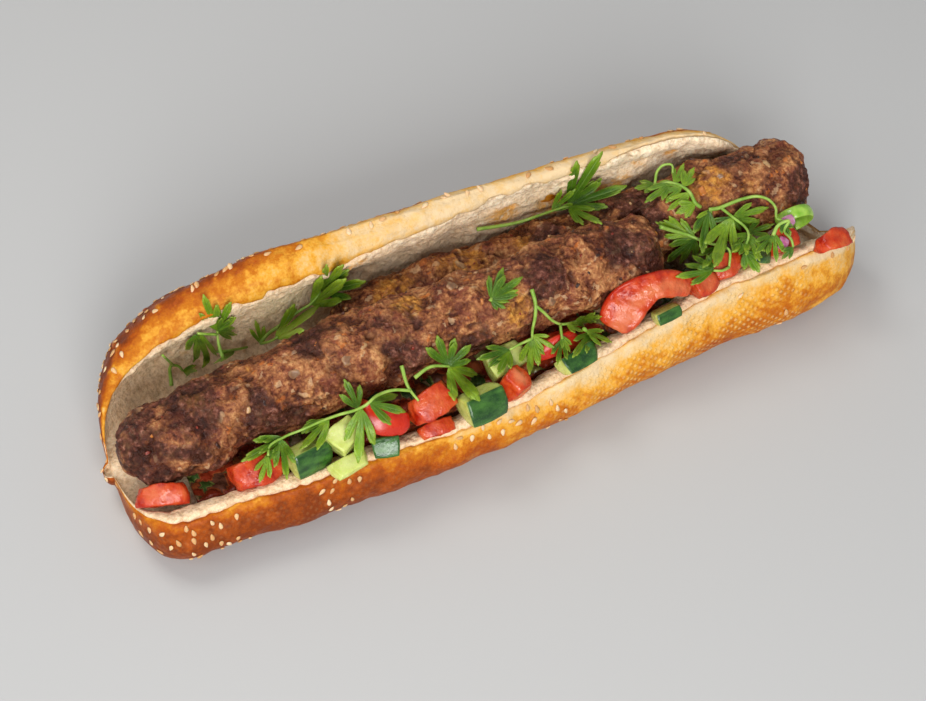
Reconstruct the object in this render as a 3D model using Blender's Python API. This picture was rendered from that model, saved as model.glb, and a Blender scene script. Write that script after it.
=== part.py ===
"""A long sesame roll, slit and opened, filled with two minced-meat kebabs on chopped salad, with parsley sprigs.

The roll lies along X with its opening up and towards -Y. The origin is under the middle of its flat base.
Lengths in the tables and constants are millimetres, and become metres where the meshes are made.
"""

import math
import random

import bmesh
import bpy
import numpy as np
from mathutils import Matrix, Vector
from mathutils.bvhtree import BVHTree

MM = 0.001
# From the tables' origin to the middle of the finished sandwich's box.
CENTRING = (1.85, 0.23, 0.0)

# The roll: a base half that lies flat, hinged at the back to a lid half that stands up.
ROLL_END_LEFT = -143.5
ROLL_END_RIGHT = 139.8
BASE_END_LEFT = -140.5
BASE_ROUNDING_LEFT = 22.0
BASE_ROUNDING_RIGHT = 45.0
BASE_CENTRE = (-5.0, 13.0)
BASE_BLUNTNESS_LEFT = 3.0
BASE_BLUNTNESS_RIGHT = 2.4
LID_END_RIGHT = 120.0
LID_ROUNDING_LEFT = 44.0
LID_SLOPE_LEFT = 74.0
LID_ROUNDING_RIGHT = 42.0
LID_BLUNTNESS_LEFT = 2.0
LID_SLOPE_BLUNTNESS = 1.35
LID_BLUNTNESS_RIGHT = 2.0
LID_CENTRE_LEFT = (5.0, 24.0)
LID_FOOT_Z = 13.0
LID_LEAST = 0.1
HEEL_START = 92.0
HEEL_LENGTH = 39.0
FRONT_BULGE = (-46.6, -30.3)
LIP_Y = (-43.5, -24.5)
LIP_Z = (25.0, 34.5)
CRUMB_EDGE_Y = (20.5, 28.0)
CRUMB_EDGE_Z = (50.0, 55.5)
RIM_TOP = (31.0, 57.0)
BACK_BULGE = 45.8
TROUGH_Z = 13.5
ROLL_STATIONS = 38

MATERIALS = {
    "crust": ((0.72, 0.36, 0.09), 0.55),
    "meat": ((0.26, 0.13, 0.08), 0.5),
    "salad": ((0.45, 0.16, 0.06), 0.5),
    "tomato": ((0.75, 0.10, 0.03), 0.3),
    "cucumber": ((0.45, 0.62, 0.18), 0.35),
    "pepper": ((0.25, 0.45, 0.06), 0.35),
    "onion": ((0.42, 0.10, 0.25), 0.35),
    "parsley": ((0.13, 0.33, 0.03), 0.5),
}


def clear_scene():
    for thing in list(bpy.data.objects):
        bpy.data.objects.remove(thing)


def smooth(low, high, value):
    """0 before low, 1 after high, and an even S-curve between."""
    t = np.clip((np.asarray(value, float) - low) / (high - low), 0.0, 1.0)
    return t * t * (3.0 - 2.0 * t)


def mix(pair, share):
    return pair[0] + (pair[1] - pair[0]) * share


def blunt(distance, length, power):
    """A rounded end: 0 at the tip, 1 at length from it. A higher power is blunter."""
    s = np.clip(distance / length, 0.0, 1.0)
    return (1.0 - (1.0 - s) ** power) ** (1.0 / power)


def roll_section(x):
    """The roll's closed outline at x, as points (y, z): under the base, up the front, over the cut lip,
    down into the trough, up the lid's crumb, over its rim and down its back."""
    front = mix(FRONT_BULGE, smooth(-60, 105, x))
    lip_y = mix(LIP_Y, smooth(-50, 105, x))
    lip_z = mix(LIP_Z, smooth(-10, 115, x))
    edge_y = mix(CRUMB_EDGE_Y, smooth(-80, 40, x))
    edge_z = mix(CRUMB_EDGE_Z, smooth(-80, 30, x)) - 1.5 * smooth(40, 100, x)
    rim_y, rim_z = RIM_TOP[0], RIM_TOP[1] - 2.2 * smooth(40, 100, x)
    pressed = smooth(-75, -35, x)
    room = 3.0 * smooth(84, 100, x) + 6.5 * smooth(98, 112, x)
    back = 5.0 * smooth(98, 112, x)
    edge_y, rim_y = edge_y + back, rim_y + 0.7 * back
    base = [
        (-3.0, 0.0),
        (front + 20.0, 0.0),
        (front + 8.5, 1.8),
        (front + 1.8, 7.5),
        (front, 14.0),
        (lip_y - 1.2, lip_z - 5.0),
        (lip_y + 0.3, lip_z - 0.6),
        (lip_y + 3.2, lip_z + 0.8),
        (lip_y + 6.8, lip_z - 0.8),
        (lip_y + 11.0, lip_z - 7.5),
        (lip_y + 18.5, 15.5),
        (3.0, 14.0),
        (15.0, TROUGH_Z),
    ]
    lid = [
        (mix((24.0, 27.0), pressed) + room, 16.0),
        (mix((27.0, 32.3), pressed) + room, 25.0),
        (mix((25.0, 31.0), pressed) + room, 37.0),
        (edge_y + 1.2, edge_z - 7.0),
        (edge_y, edge_z),
        (edge_y + 0.35 * (rim_y - edge_y), edge_z + 0.75 * (rim_z - edge_z)),
        (rim_y, rim_z),
        (36.2, 51.5),
        (41.5, 43.0),
        (BACK_BULGE - 0.6, 32.0),
        (BACK_BULGE, 20.0),
        (41.5, 8.5),
    ]
    under = [(33.0, 2.0), (21.0, 0.0)]
    # At the left the lid shrinks towards a middle point, and at the right it sinks and its back turns in.
    left = blunt(x - ROLL_END_LEFT, LID_ROUNDING_LEFT, LID_BLUNTNESS_LEFT)
    y0, z0 = LID_CENTRE_LEFT
    slope = blunt(x - ROLL_END_LEFT, LID_SLOPE_LEFT, LID_SLOPE_BLUNTNESS)
    lid = [(y0 + (y - y0) * left, z0 + (z - z0) * (slope if z > z0 else left)) for y, z in lid]
    sunk = np.maximum(blunt(LID_END_RIGHT - x, LID_ROUNDING_RIGHT, LID_BLUNTNESS_RIGHT), LID_LEAST)
    lid = [(y, LID_FOOT_Z + (z - LID_FOOT_Z) * (sunk if z > LID_FOOT_Z else 1.0)) for y, z in lid]
    y0, z0 = BASE_CENTRE
    turned_in = (1.0 - np.clip((x - HEEL_START) / HEEL_LENGTH, 0.0, 0.97) ** 2.2) ** 0.8
    outline = [(y0 + (y - y0) * (turned_in if y > y0 else 1.0), z) for y, z in base + lid + under]
    size = min(
        blunt(x - min(BASE_END_LEFT, x), BASE_ROUNDING_LEFT, BASE_BLUNTNESS_LEFT),
        blunt(ROLL_END_RIGHT - x, BASE_ROUNDING_RIGHT, BASE_BLUNTNESS_RIGHT),
    )
    size = max(size, 0.12 * blunt(x - ROLL_END_LEFT, 3.0, 2.0))
    height = 0.3 + 0.7 * size if size > 0.3 else size * 1.7
    return [(y0 + (y - y0) * size, z0 + (z - z0) * height) for y, z in outline]


def roll_stations(count):
    """Places along the roll, closer together towards the two ends."""
    turn = np.linspace(0.0, math.pi, count)
    middle = (ROLL_END_LEFT + ROLL_END_RIGHT) / 2.0
    half = (ROLL_END_RIGHT - ROLL_END_LEFT) / 2.0 - 0.3
    evenly = np.linspace(-1.0, 1.0, count)
    return middle + half * (0.55 * evenly - 0.45 * np.cos(turn))


# The two kebabs: each follows points (x, y, z, radius), with rounded ends.
KEBAB_FRONT = ((-138.5, -13.6, 30.0, 13.2), (-110, -12.6, 32.6, 14.2), (-80, -10.0, 37.0, 14.2),
               (-45, -8.6, 40.5, 14.0), (0, -7.2, 42.5, 13.6), (36, -4.6, 42.0, 13.2), (61.5, -1.5, 40.5, 12.6))
KEBAB_BACK = ((-54, 14.0, 26.6, 11.0), (-25, 17.2, 26.6, 11.6), (15, 18.0, 27.2, 11.8), (45, 16.5, 29.6, 12.4),
              (75, 12.5, 34.0, 13.8), (100, 10.5, 37.0, 14.4), (126, 10.0, 38.0, 14.6))


def spline(keys, x):
    """A smooth curve through the keys' first column, for each of the other columns."""
    keys = np.array(keys, float)
    at = keys[:, 0]
    slopes = np.gradient(keys[:, 1:], at, axis=0)
    i = np.clip(np.searchsorted(at, x) - 1, 0, len(at) - 2)
    h = at[i + 1] - at[i]
    t = np.clip((x - at[i]) / h, 0.0, 1.0)[:, None]
    a, b = keys[i, 1:], keys[i + 1, 1:]
    m, n = slopes[i] * h[:, None], slopes[i + 1] * h[:, None]
    return (2 * t**3 - 3 * t**2 + 1) * a + (t**3 - 2 * t**2 + t) * m + (3 * t**2 - 2 * t**3) * b + (t**3 - t**2) * n


def lumps(x, turn, seed):
    """The uneven hand-shaped surface of minced meat: waves of 12 to 40 mm, none higher than about 1 mm."""
    rng = np.random.default_rng(seed)
    total = 0.0
    for wave, around in ((42, 1), (30, 2), (22, 3), (16, 4), (12, 5), (19, 2)):
        phase, other = rng.uniform(0, 2 * math.pi, 2)
        total = total + 0.33 * np.sin(2 * math.pi * x / wave + phase) * np.cos(around * turn + other)
    return total


def kebab_points(keys, stations, around, seed, end_length=15.0, end_power=2.3):
    """A grid of points on a kebab, rings across X, from its left tip to its right."""
    left, right = keys[0][0], keys[-1][0]
    share = np.linspace(0.0, math.pi, stations)
    x = (left + right) / 2 - (right - left) / 2 * (0.6 * np.cos(share) - 0.4 * np.linspace(-1, 1, stations))
    y, z, radius = spline(keys, x).T
    size = blunt(x - left, end_length, end_power) * blunt(right - x, end_length, end_power)
    turn = np.linspace(0, 2 * math.pi, around, endpoint=False)
    grid_x, grid_turn = np.meshgrid(x, turn, indexing="ij")
    r = (radius[:, None] + lumps(grid_x, grid_turn, seed)) * size[:, None]
    return np.stack([grid_x, y[:, None] + r * np.cos(grid_turn), z[:, None] + r * np.sin(grid_turn)], -1)


# The chopped salad. Each dice: its colour, middle, half sizes, turns in degrees about X, Y and Z, the radius
# of its rounded skin (on its upper side) and how much it narrows downwards.
DICE = (
    ("tomato", (-129.0, -30.0, 25.0), (8.5, 4.2, 3.0), (30, 0, -14), 22, 0.3),
    ("tomato", (-97.0, -33.5, 26.5), (9.0, 5.2, 5.2), (40, 4, 6), 24, 0.2),
    ("cucumber", (-80.0, -35.0, 28.0), (6.6, 4.6, 5.0), (62, 8, 18), 17, 0.1),
    ("cucumber", (-68.0, -34.0, 31.0), (5.4, 4.8, 5.4), (20, -12, 24), 40, 0.0),
    ("cucumber", (-68.0, -41.0, 27.6), (6.4, 3.0, 1.6), (14, -4, 10), 60, 0.0),
    ("cucumber", (-54.5, -41.0, 28.4), (4.4, 3.6, 2.6), (42, 0, -12), 17, 0.1),
    ("tomato", (-52.0, -33.5, 32.0), (8.6, 5.0, 6.4), (48, 20, -24), 26, 0.45),
    ("tomato", (-36.0, -34.0, 35.0), (8.2, 5.0, 4.8), (38, -8, 12), 60, 0.15),
    ("tomato", (-36.0, -40.0, 28.6), (6.4, 2.8, 2.0), (30, 0, 4), 24, 0.2),
    ("cucumber", (-20.5, -38.6, 33.0), (7.2, 4.7, 5.6), (64, 6, 12), 17, 0.1),
    ("tomato", (-6.0, -35.5, 32.5), (4.8, 4.6, 5.6), (20, 12, 30), 60, 0.1),
    ("cucumber", (-4.5, -25.5, 30.5), (6.8, 4.6, 4.0), (22, 0, 14), 40, 0.0),
    ("tomato", (15.0, -23.5, 31.0), (8.0, 4.2, 5.4), (46, 0, 6), 24, 0.25),
    ("cucumber", (18.0, -31.5, 31.5), (7.0, 3.4, 3.6), (36, 10, 20), 17, 0.1),
    ("cucumber", (54.5, -28.0, 33.0), (4.9, 2.4, 2.8), (55, 0, 8), 17, 0.1),
    ("tomato", (68.0, -22.0, 35.0), (4.8, 4.4, 5.0), (40, -10, 24), 24, 0.3),
    ("tomato", (79.0, -18.5, 36.0), (6.0, 4.6, 4.8), (38, 6, 10), 24, 0.25),
    ("cucumber", (90.0, -18.0, 36.5), (4.4, 4.0, 4.2), (48, 40, 16), 17, 0.1),
    ("tomato", (102.0, -16.5, 37.0), (6.0, 4.4, 4.2), (30, 0, 14), 30, 0.2),
    ("tomato", (122.0, -22.0, 37.4), (6.6, 3.8, 3.2), (24, 6, 10), 22, 0.4),
    ("onion", (107.0, -14.0, 43.5), (2.6, 2.0, 1.3), (30, 10, 20), 20, 0.0),
    ("onion", (101.5, -20.5, 42.2), (2.2, 1.8, 1.2), (20, -10, 50), 20, 0.0),
)
DICE_ROUNDING = 0.42

# The tomato slice arches over its emptied seed pocket: ends, crown, band width and band thickness.
ARCH_FROM = (34.0, -26.5, 32.5)
ARCH_CROWN = (49.5, -22.0, 41.5)
ARCH_TO = (64.5, -23.5, 37.0)
ARCH_WIDTH = 7.0
ARCH_THICK = 10.4
ARCH_FACES = (-0.23, -0.6, 0.77)

# A piece of green pepper ring stands on edge at the right: middle, radius, band height, thickness, its arc.
PEPPER_MIDDLE = (113.0, -12.0, 36.5)
PEPPER_RADIUS = 6.6
PEPPER_BAND = (4.6, 1.7)
PEPPER_ARC = (-70, 170)

# A bed of finely chopped salad fills the slit under the front kebab.
BED_X = (-118.0, 112.0)
BED_BACK = -3.0
BED_TOP = 22.0
BED_GAP = 0.7

# Sesame seeds: half length, half width, half height, and how deep the middle sits in the crust.
SEED = (1.6, 1.0, 0.45)
SEED_SINK = 0.12
SEEDS_FRONT = 34
SEEDS_LID = 26
SEED_SPACING = 4.4


# The parsley is laid out flat on a slanting plane that faces the roll's opening, then dropped onto what lies
# under it. Each sprig: its stems, as points (u, v) on the plane, and its leaflets, each from its base (u, v)
# to its tip (u, v), with its width.
PLANE_TURN = -22.0
PLANE_TILT = 52.0
PARSLEY = (
    (
        (
            ((-110, -8.2), (-110.1, -1.2), (-108.1, -1.5), (-107, -3.1)),
            ((-110.1, -1.2), (-111.3, 2.3)),
        ),
        (
            (-107.3, -2.7, -99.9, -3.1, 4.2),
        ),
    ),
    (
        (
            ((-91.3, 1.2), (-92.3, 3.8), (-92.8, 5.5), (-93.5, 10.6)),
            ((-92.3, 3.8), (-87.5, 4.4), (-84.9, 5.1)),
            ((-92.3, 3.8), (-96.3, 3.6)),
            ((-93.6, 9.8), (-96.6, 9.5), (-99.4, 9.7)),
        ),
        (
            (-93.5, 10.6, -96.6, 22.7, 6.5), (-93.5, 10.6, -86.9, 21.4, 4.5),
            (-93.5, 10.6, -87.2, 9.3, 4.5), (-93.5, 10.6, -86.9, 15.1, 3.9),
            (-98.3, 9.6, -98.6, -3.1, 6.2), (-99.4, 9.7, -102.8, -0.4, 5.1), (-88.1, 4.3, -93.7, -0.6, 3.1),
        ),
    ),
    (
        (
            ((-80.1, 6.3), (-79, 8.2), (-73, 13.1), (-67.1, 17.5), (-62.3, 20.5), (-58.9, 24.5)),
            ((-80.1, 6.3), (-75.9, 7.2), (-73.2, 8.5)),
        ),
        (
            (-62.9, 20.1, -49, 29, 11.3), (-59.1, 24.3, -48.6, 33.9, 5.4), (-58.9, 24.5, -41.2, 27.9, 4.5),
            (-74, 8.1, -59.2, 20, 5.4), (-79.9, 6.7, -81.6, 15.2, 2.8),
        ),
    ),
    (
        (
            ((-4.5, 46.7), (11, 49.6), (22.5, 53.7), (29.1, 55.9)),
        ),
        (
            (28.4, 55.7, 39.2, 73.1, 10.2), (28.7, 55.8, 47.8, 61.7, 8.7), (28.4, 55.7, 39.2, 46.8, 7.3),
            (22.5, 53.7, 30.5, 61.1, 5.1),
        ),
    ),
    (
        (
            ((-0.3, 20.4), (0.2, 21.6)),
        ),
        (
            (-0, 21, 4.3, 32.7, 4.3), (-0, 21.1, 11.6, 29.1, 4.7), (-0.1, 21, 9, 24, 2.7),
            (-0.2, 20.7, 4.9, 18.1, 4),
        ),
    ),
    (
        (
            ((-29.9, -1.2), (-27.5, -8.5), (-24.1, -12.8)),
            ((-27.3, -9.1), (-32.4, -9.2), (-38, -11.1), (-41.3, -14), (-44.1, -15.4), (-50.5, -17.3),
             (-56.4, -19.5), (-62.9, -22.4), (-68.4, -24.6), (-73.5, -28.4), (-73.5, -30.7)),
        ),
        (
            (-43.9, -15.3, -48.9, -5.2, 8), (-40.3, -13.1, -26.8, -17.1, 10.4),
            (-43, -14.9, -44.2, -33.1, 8.4), (-53.1, -18.3, -64.2, -29.7, 5.2),
            (-56.4, -19.5, -63.4, -23.7, 3.6), (-69.9, -25.7, -66.6, -38.3, 4.8),
            (-73.5, -30.7, -76.5, -40.3, 3), (-69.1, -25.1, -76.4, -29.9, 2.4),
            (-68.9, -25, -81.6, -32.2, 2),
        ),
    ),
    (
        (
            ((-25.6, -5.2), (-20.5, -1.6), (-13.2, -1.4)),
        ),
        (
            (-14.6, -1.4, -18.4, 10.1, 10.9), (-13.9, -1.4, -6.4, 6.4, 8.7),
            (-14.3, -1.4, -4.5, -12.5, 12.4),
        ),
    ),
    (
        (
            ((13.7, 24.5), (15, 19.6), (14.9, 15), (14.1, 10.7), (14.2, 6.9)),
            ((15, 19.6), (17.9, 16.8), (21, 14.1), (24, 12.9), (26.2, 13.1), (29.2, 13.9), (32.1, 14.7)),
            ((14.2, 8.4), (11.9, 7), (9.7, 6), (6.4, 4.2)),
            ((24, 12.9), (24.1, 9.4), (24.4, 7.8)),
        ),
        (
            (6.7, 4.4, -6.3, 0.6, 4), (6.4, 4.2, 2.6, -3.8, 6.3), (14.2, 7.5, 12.7, -5, 6.3),
            (14.2, 7.8, 16.6, -2.4, 2), (14.2, 9.0, 22.1, 4.7, 3.7), (24.1, 9.4, 26.8, 3.1, 2.5),
            (24.3, 8.1, 22, -2.1, 3), (26.2, 13.1, 32.1, 10.3, 3.2), (31.8, 14.6, 38, 15.6, 1.8),
            (29.2, 13.9, 35.3, 14.2, 1.3),
        ),
    ),
    (
        (
            ((31.9, 11.3), (33.8, 10.3), (35.4, 9.9)),
        ),
        (
            (32.7, 10.9, 41.6, 6.8, 3), (34.6, 10.1, 27.3, 1.8, 3.7),
        ),
    ),
    (
        (
            ((59.2, 46.9), (63.4, 45.9), (69.4, 44.5), (75.5, 41.9), (83.1, 38.8), (82.9, 32.8)),
            ((82.9, 32.8), (80.4, 31.6), (77.2, 31.6)),
        ),
        (
            (72, 43.4, 60.5, 49.5, 7), (72.6, 43.1, 68.3, 36.5, 8), (77.8, 31.6, 70.4, 37.5, 7),
            (77.4, 31.6, 63.8, 29.4, 4.8), (79.9, 40.1, 72.6, 31.8, 4.5),
        ),
    ),
    (
        (
            ((74, 54.3), (72.1, 55.5), (70.2, 59.4), (67.9, 61.5), (63.8, 63.1), (58.1, 62.6),
             (54.2, 63.6)),
            ((58.1, 62.6), (59.7, 67.9), (61.3, 69.5), (64.5, 69.7), (64.7, 66.2)),
        ),
        (
            (58.1, 62.6, 51.4, 61.5, 5.5), (67.5, 61.7, 55.9, 58.4, 8.5), (64.7, 62.8, 69.4, 70.8, 3.3),
            (68.1, 61.4, 72.5, 68.9, 6), (72.6, 55.2, 64.7, 51.8, 6.5),
        ),
    ),
    (
        (
            ((77, 53.4), (80.9, 54.1), (83.3, 55.1), (89.2, 57.3), (94.6, 58.1), (98.2, 56.7),
             (100.2, 53.9), (100.4, 49.9), (102.3, 49.3)),
            ((80.9, 54.1), (85, 51), (90.1, 45.5), (88.6, 38.7)),
        ),
        (
            (78.1, 53.6, 71.7, 45, 5), (85, 51, 76.3, 44.9, 6), (85.1, 50.8, 77, 32.6, 10),
            (85, 51, 98.3, 54.3, 6), (90.1, 45.5, 100.1, 48.5, 7), (89, 40.5, 83.8, 37.9, 4),
            (88.7, 39.2, 93.4, 31.4, 8),
        ),
    ),
    (
        (
            ((98.7, 44), (100.6, 47.7), (104.3, 49.1), (102.5, 45.6), (104.9, 42.7), (105.7, 40)),
        ),
        (
            (102, 48.2, 104.6, 43.7, 5.5), (99, 44.6, 99.2, 34.1, 4), (98.7, 44, 90.4, 36.7, 3),
            (105.7, 40.1, 101.6, 35.7, 4.3),
        ),
    ),
)
STEM_RADIUS = 0.6
LEAF_THICK = 0.7
LEAF_LIFT = 1.2
PARSLEY_SEED = 75
LIFT_STEP = 0.3
LIFT_STEPS = 10
COVER_STEP = 1.5
# A leaflet's outline on its right side, from base to tip: how far along, and how far out.
LEAF_OUTLINE = ((-0.05, 0.08), (0.46, 0.95), (0.72, 0.52))
LEAF_MIDRIB = 0.42


def material(name):
    made = bpy.data.materials.get(name)
    if made is None:
        colour, roughness = MATERIALS[name]
        made = bpy.data.materials.new(name)
        made.use_nodes = True
        shader = made.node_tree.nodes["Principled BSDF"]
        shader.inputs["Base Color"].default_value = (*colour, 1.0)
        shader.inputs["Roughness"].default_value = roughness
    return made


def new_object(name, mesh, collection, finish):
    mesh.materials.append(material(finish))
    thing = bpy.data.objects.new(name, mesh)
    collection.objects.link(thing)
    return thing


def loft(name, rings):
    """A closed mesh through rings of points, each ring joined to the next and the two end rings filled."""
    count, around = rings.shape[:2]
    points = [Vector(p) * MM for p in rings.reshape(-1, 3)]
    faces = [
        (i * around + j, i * around + (j + 1) % around, (i + 1) * around + (j + 1) % around, (i + 1) * around + j)
        for i in range(count - 1)
        for j in range(around)
    ]
    faces.append(tuple(range(around - 1, -1, -1)))
    faces.append(tuple((count - 1) * around + j for j in range(around)))
    mesh = bpy.data.meshes.new(name)
    mesh.from_pydata(points, [], faces)
    shell = bmesh.new()
    shell.from_mesh(mesh)
    bmesh.ops.remove_doubles(shell, verts=shell.verts, dist=1e-5)
    bmesh.ops.triangulate(shell, faces=shell.faces, quad_method="BEAUTY", ngon_method="EAR_CLIP")
    bmesh.ops.recalc_face_normals(shell, faces=shell.faces)
    shell.to_mesh(mesh)
    shell.free()
    return mesh


def make_roll(collection):
    rings = np.array([[(x, y, z) for y, z in roll_section(x)] for x in roll_stations(ROLL_STATIONS)])
    return new_object("bread_roll", loft("bread_roll", rings), collection, "crust")


def give_way(rings, tree, gap):
    """Pulls ring points back towards their ring's middle where a solid is in the way, or nearer than the gap."""
    for ring in rings:
        middle = Vector(ring.mean(0))
        for i, point in enumerate(ring):
            way = Vector(point) - middle
            hit = tree.ray_cast(middle, way, way.length + gap) if way.length > 0.1 else (None,)
            if hit[0] is not None:
                ring[i] = middle + way.normalized() * (hit[3] - gap)


def make_kebab(name, keys, seed, roll, collection, beside=None):
    rings = kebab_points(keys, 34, 14, seed)
    if beside:
        rings = clear_of_kebab(rings.reshape(-1, 3), beside, 0.6).reshape(rings.shape)
    give_way(rings, tree_of([roll]), 1.8)
    return new_object(name, loft(name, rings[1:-1]), collection, "meat")


def turned(degrees):
    """A rotation from turns about X, then Y, then Z."""
    x, y, z = (math.radians(d) for d in degrees)
    return np.array(Matrix.Rotation(z, 3, "Z") @ Matrix.Rotation(y, 3, "Y") @ Matrix.Rotation(x, 3, "X"))


def dice_points(cube, half, skin_radius, narrowing, seed, one_way):
    """Places the points of a cube of side 2 on a cut piece: rounded edges, sides a little off square,
    the upper side bulging like skin (one way only for a cylinder), and the piece narrower below."""
    rng = np.random.default_rng(seed)
    square = cube**2
    x, y, z = cube.T
    xx, yy, zz = square.T
    sphere = np.stack([
        x * np.sqrt(1 - yy / 2 - zz / 2 + yy * zz / 3),
        y * np.sqrt(1 - zz / 2 - xx / 2 + zz * xx / 3),
        z * np.sqrt(1 - xx / 2 - yy / 2 + xx * yy / 3),
    ], -1)
    shape = cube * (1 - DICE_ROUNDING) + sphere * DICE_ROUNDING
    tilt = rng.uniform(-0.14, 0.14, (3, 3))
    np.fill_diagonal(tilt, 0.0)
    shape = shape * (1.0 + shape @ tilt)
    low = np.clip((1 - shape[:, 2]) / 2, 0, 1)
    shape[:, 1] *= 1 - narrowing * low
    out = shape * np.array(half)
    across = out[:, 1] ** 2 + (0 if one_way else out[:, 0] ** 2)
    out[:, 2] -= (1 - low) * across / (2 * skin_radius)
    return out


def cube_mesh(name, cuts):
    shell = bmesh.new()
    bmesh.ops.create_cube(shell, size=2.0)
    bmesh.ops.subdivide_edges(shell, edges=shell.edges, cuts=cuts, use_grid_fill=True)
    mesh = bpy.data.meshes.new(name)
    shell.to_mesh(mesh)
    shell.free()
    return mesh


def finish_mesh(mesh, points=None):
    """Puts the points in (in millimetres), splits the faces into triangles and faces them outwards."""
    if points is not None:
        mesh.vertices.foreach_set("co", (np.asarray(points) * MM).ravel())
    shell = bmesh.new()
    shell.from_mesh(mesh)
    bmesh.ops.remove_doubles(shell, verts=shell.verts, dist=1e-6)
    bmesh.ops.triangulate(shell, faces=shell.faces)
    bmesh.ops.recalc_face_normals(shell, faces=shell.faces)
    shell.to_mesh(mesh)
    shell.free()
    mesh.update()


def tree_of(things, gap=0.0):
    """A search tree over the outsides of several meshes, each swollen by a gap along its normals."""
    points, faces = [], []
    for thing in things:
        start = len(points)
        points += [(v.co / MM) + v.normal * gap for v in thing.data.vertices]
        faces += [tuple(start + i for i in p.vertices) for p in thing.data.polygons]
    return BVHTree.FromPolygons(points, faces)


def tree_of_points(points, mesh):
    return BVHTree.FromPolygons([Vector(p) for p in points], [tuple(p.vertices) for p in mesh.polygons])


WAYS = ((0, 0, 1), (0, -0.5, 0.87), (0, 0.4, 0.92), (0, -0.95, 0.3), (0.7, 0, 0.7), (-0.7, 0, 0.7), (0.95, -0.2, 0.2),
        (-0.95, -0.2, 0.2), (0, 0.9, 0.4), (0, -0.5, -0.87), (0, 0.3, -0.95))


def settle(mesh, points, obstacles, step=0.4, most=26):
    """Moves a piece by the least distance that frees it from everything placed before, and returns its points."""
    for count in range(most):
        for way in WAYS:
            moved = points + np.array(way) * step * count
            if not obstacles.overlap(tree_of_points(moved, mesh)):
                return moved
    raise RuntimeError(f"{mesh.name} found no room")


def make_dice(number, finish, middle, half, turns, skin_radius, narrowing, placed, collection):
    small = max(half) < 7.9
    name = f"{finish}_{number + 1:02d}"
    mesh = cube_mesh(name, 1 if small else 2)
    cube = np.array([v.co[:] for v in mesh.vertices])
    points = dice_points(cube, half, skin_radius, narrowing, 40 + number, finish == "cucumber")
    points = points @ turned(turns).T + np.array(middle)
    points = settle(mesh, points, tree_of(placed, 0.35))
    finish_mesh(mesh, points)
    return new_object(name, mesh, collection, finish)


def arch_rings(stations, around):
    """The arched tomato slice: a rounded band along an arc from one foot over the crown to the other."""
    a, b, c = (np.array(p) for p in (ARCH_FROM, ARCH_CROWN, ARCH_TO))
    t = np.linspace(0, 1, stations)[:, None]
    handle = b + (b - (a + c) / 2) * 1.0
    line = (1 - t) ** 2 * a + 2 * t * (1 - t) * handle + t**2 * c
    ahead = np.gradient(line, axis=0)
    ahead /= np.linalg.norm(ahead, axis=1, keepdims=True)
    across = np.array(ARCH_FACES)
    out = np.cross(ahead, across)
    out /= np.linalg.norm(out, axis=1, keepdims=True)
    out *= np.sign(out[stations // 2, 2])
    side = np.cross(out, ahead)
    turn = np.linspace(0, 2 * math.pi, around, endpoint=False)
    ends = blunt(np.minimum(t, 1 - t) * 1.0, 0.3, 2.0)
    wide = np.sign(np.cos(turn)) * np.abs(np.cos(turn)) ** 0.7 * ARCH_WIDTH / 2
    thick = np.sign(np.sin(turn)) * np.abs(np.sin(turn)) ** 0.8 * ARCH_THICK / 2
    sag = -(wide**2) / 60.0
    grid = line[:, None] + side[:, None] * (wide * (0.35 + 0.65 * ends))[..., None]
    return grid + out[:, None] * ((thick + sag) * (0.3 + 0.7 * ends))[..., None]


def make_arch(placed, collection):
    rings = arch_rings(11, 10)
    mesh = loft("tomato_slice", rings)
    points = np.array([v.co[:] for v in mesh.vertices]) / MM
    finish_mesh(mesh, settle(mesh, points, tree_of(placed, 0.35)))
    return new_object("tomato_slice", mesh, collection, "tomato")


def make_pepper(placed, collection):
    x, y, z = PEPPER_MIDDLE
    high, thick = PEPPER_BAND
    rings = []
    for angle in np.radians(np.linspace(*PEPPER_ARC, 13)):
        out = np.array([math.cos(angle), -0.35 * math.sin(angle), math.sin(angle)])
        across = np.array([0.0, -0.94, -0.34])
        ring = []
        for turn in np.linspace(0, 2 * math.pi, 6, endpoint=False):
            ring.append(np.array([x, y, z]) + out * (PEPPER_RADIUS + math.cos(turn) * thick / 2)
                        + across * math.sin(turn) * high / 2)
        rings.append(ring)
    mesh = loft("pepper_ring", np.array(rings))
    points = np.array([v.co[:] for v in mesh.vertices]) / MM
    finish_mesh(mesh, settle(mesh, points, tree_of(placed, 0.35)))
    return new_object("pepper_ring", mesh, collection, "pepper")


def clear_of_kebab(points, keys, gap):
    """Pushes points that lie inside a kebab, or nearer to it than the gap, straight out from its axis."""
    points = points.copy()
    left, right = keys[0][0], keys[-1][0]
    inside = (points[:, 0] > left - gap) & (points[:, 0] < right + gap)
    x = np.clip(points[:, 0], left + 3, right - 3)
    y, z, radius = spline(keys, x).T
    away = points[:, 1:] - np.stack([y, z], -1)
    far = np.linalg.norm(away, axis=1)
    least = radius + 1.0 + gap
    near = inside & (far < least)
    points[near, 1:] += away[near] / far[near, None] * (least - far)[near, None]
    return points


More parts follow.
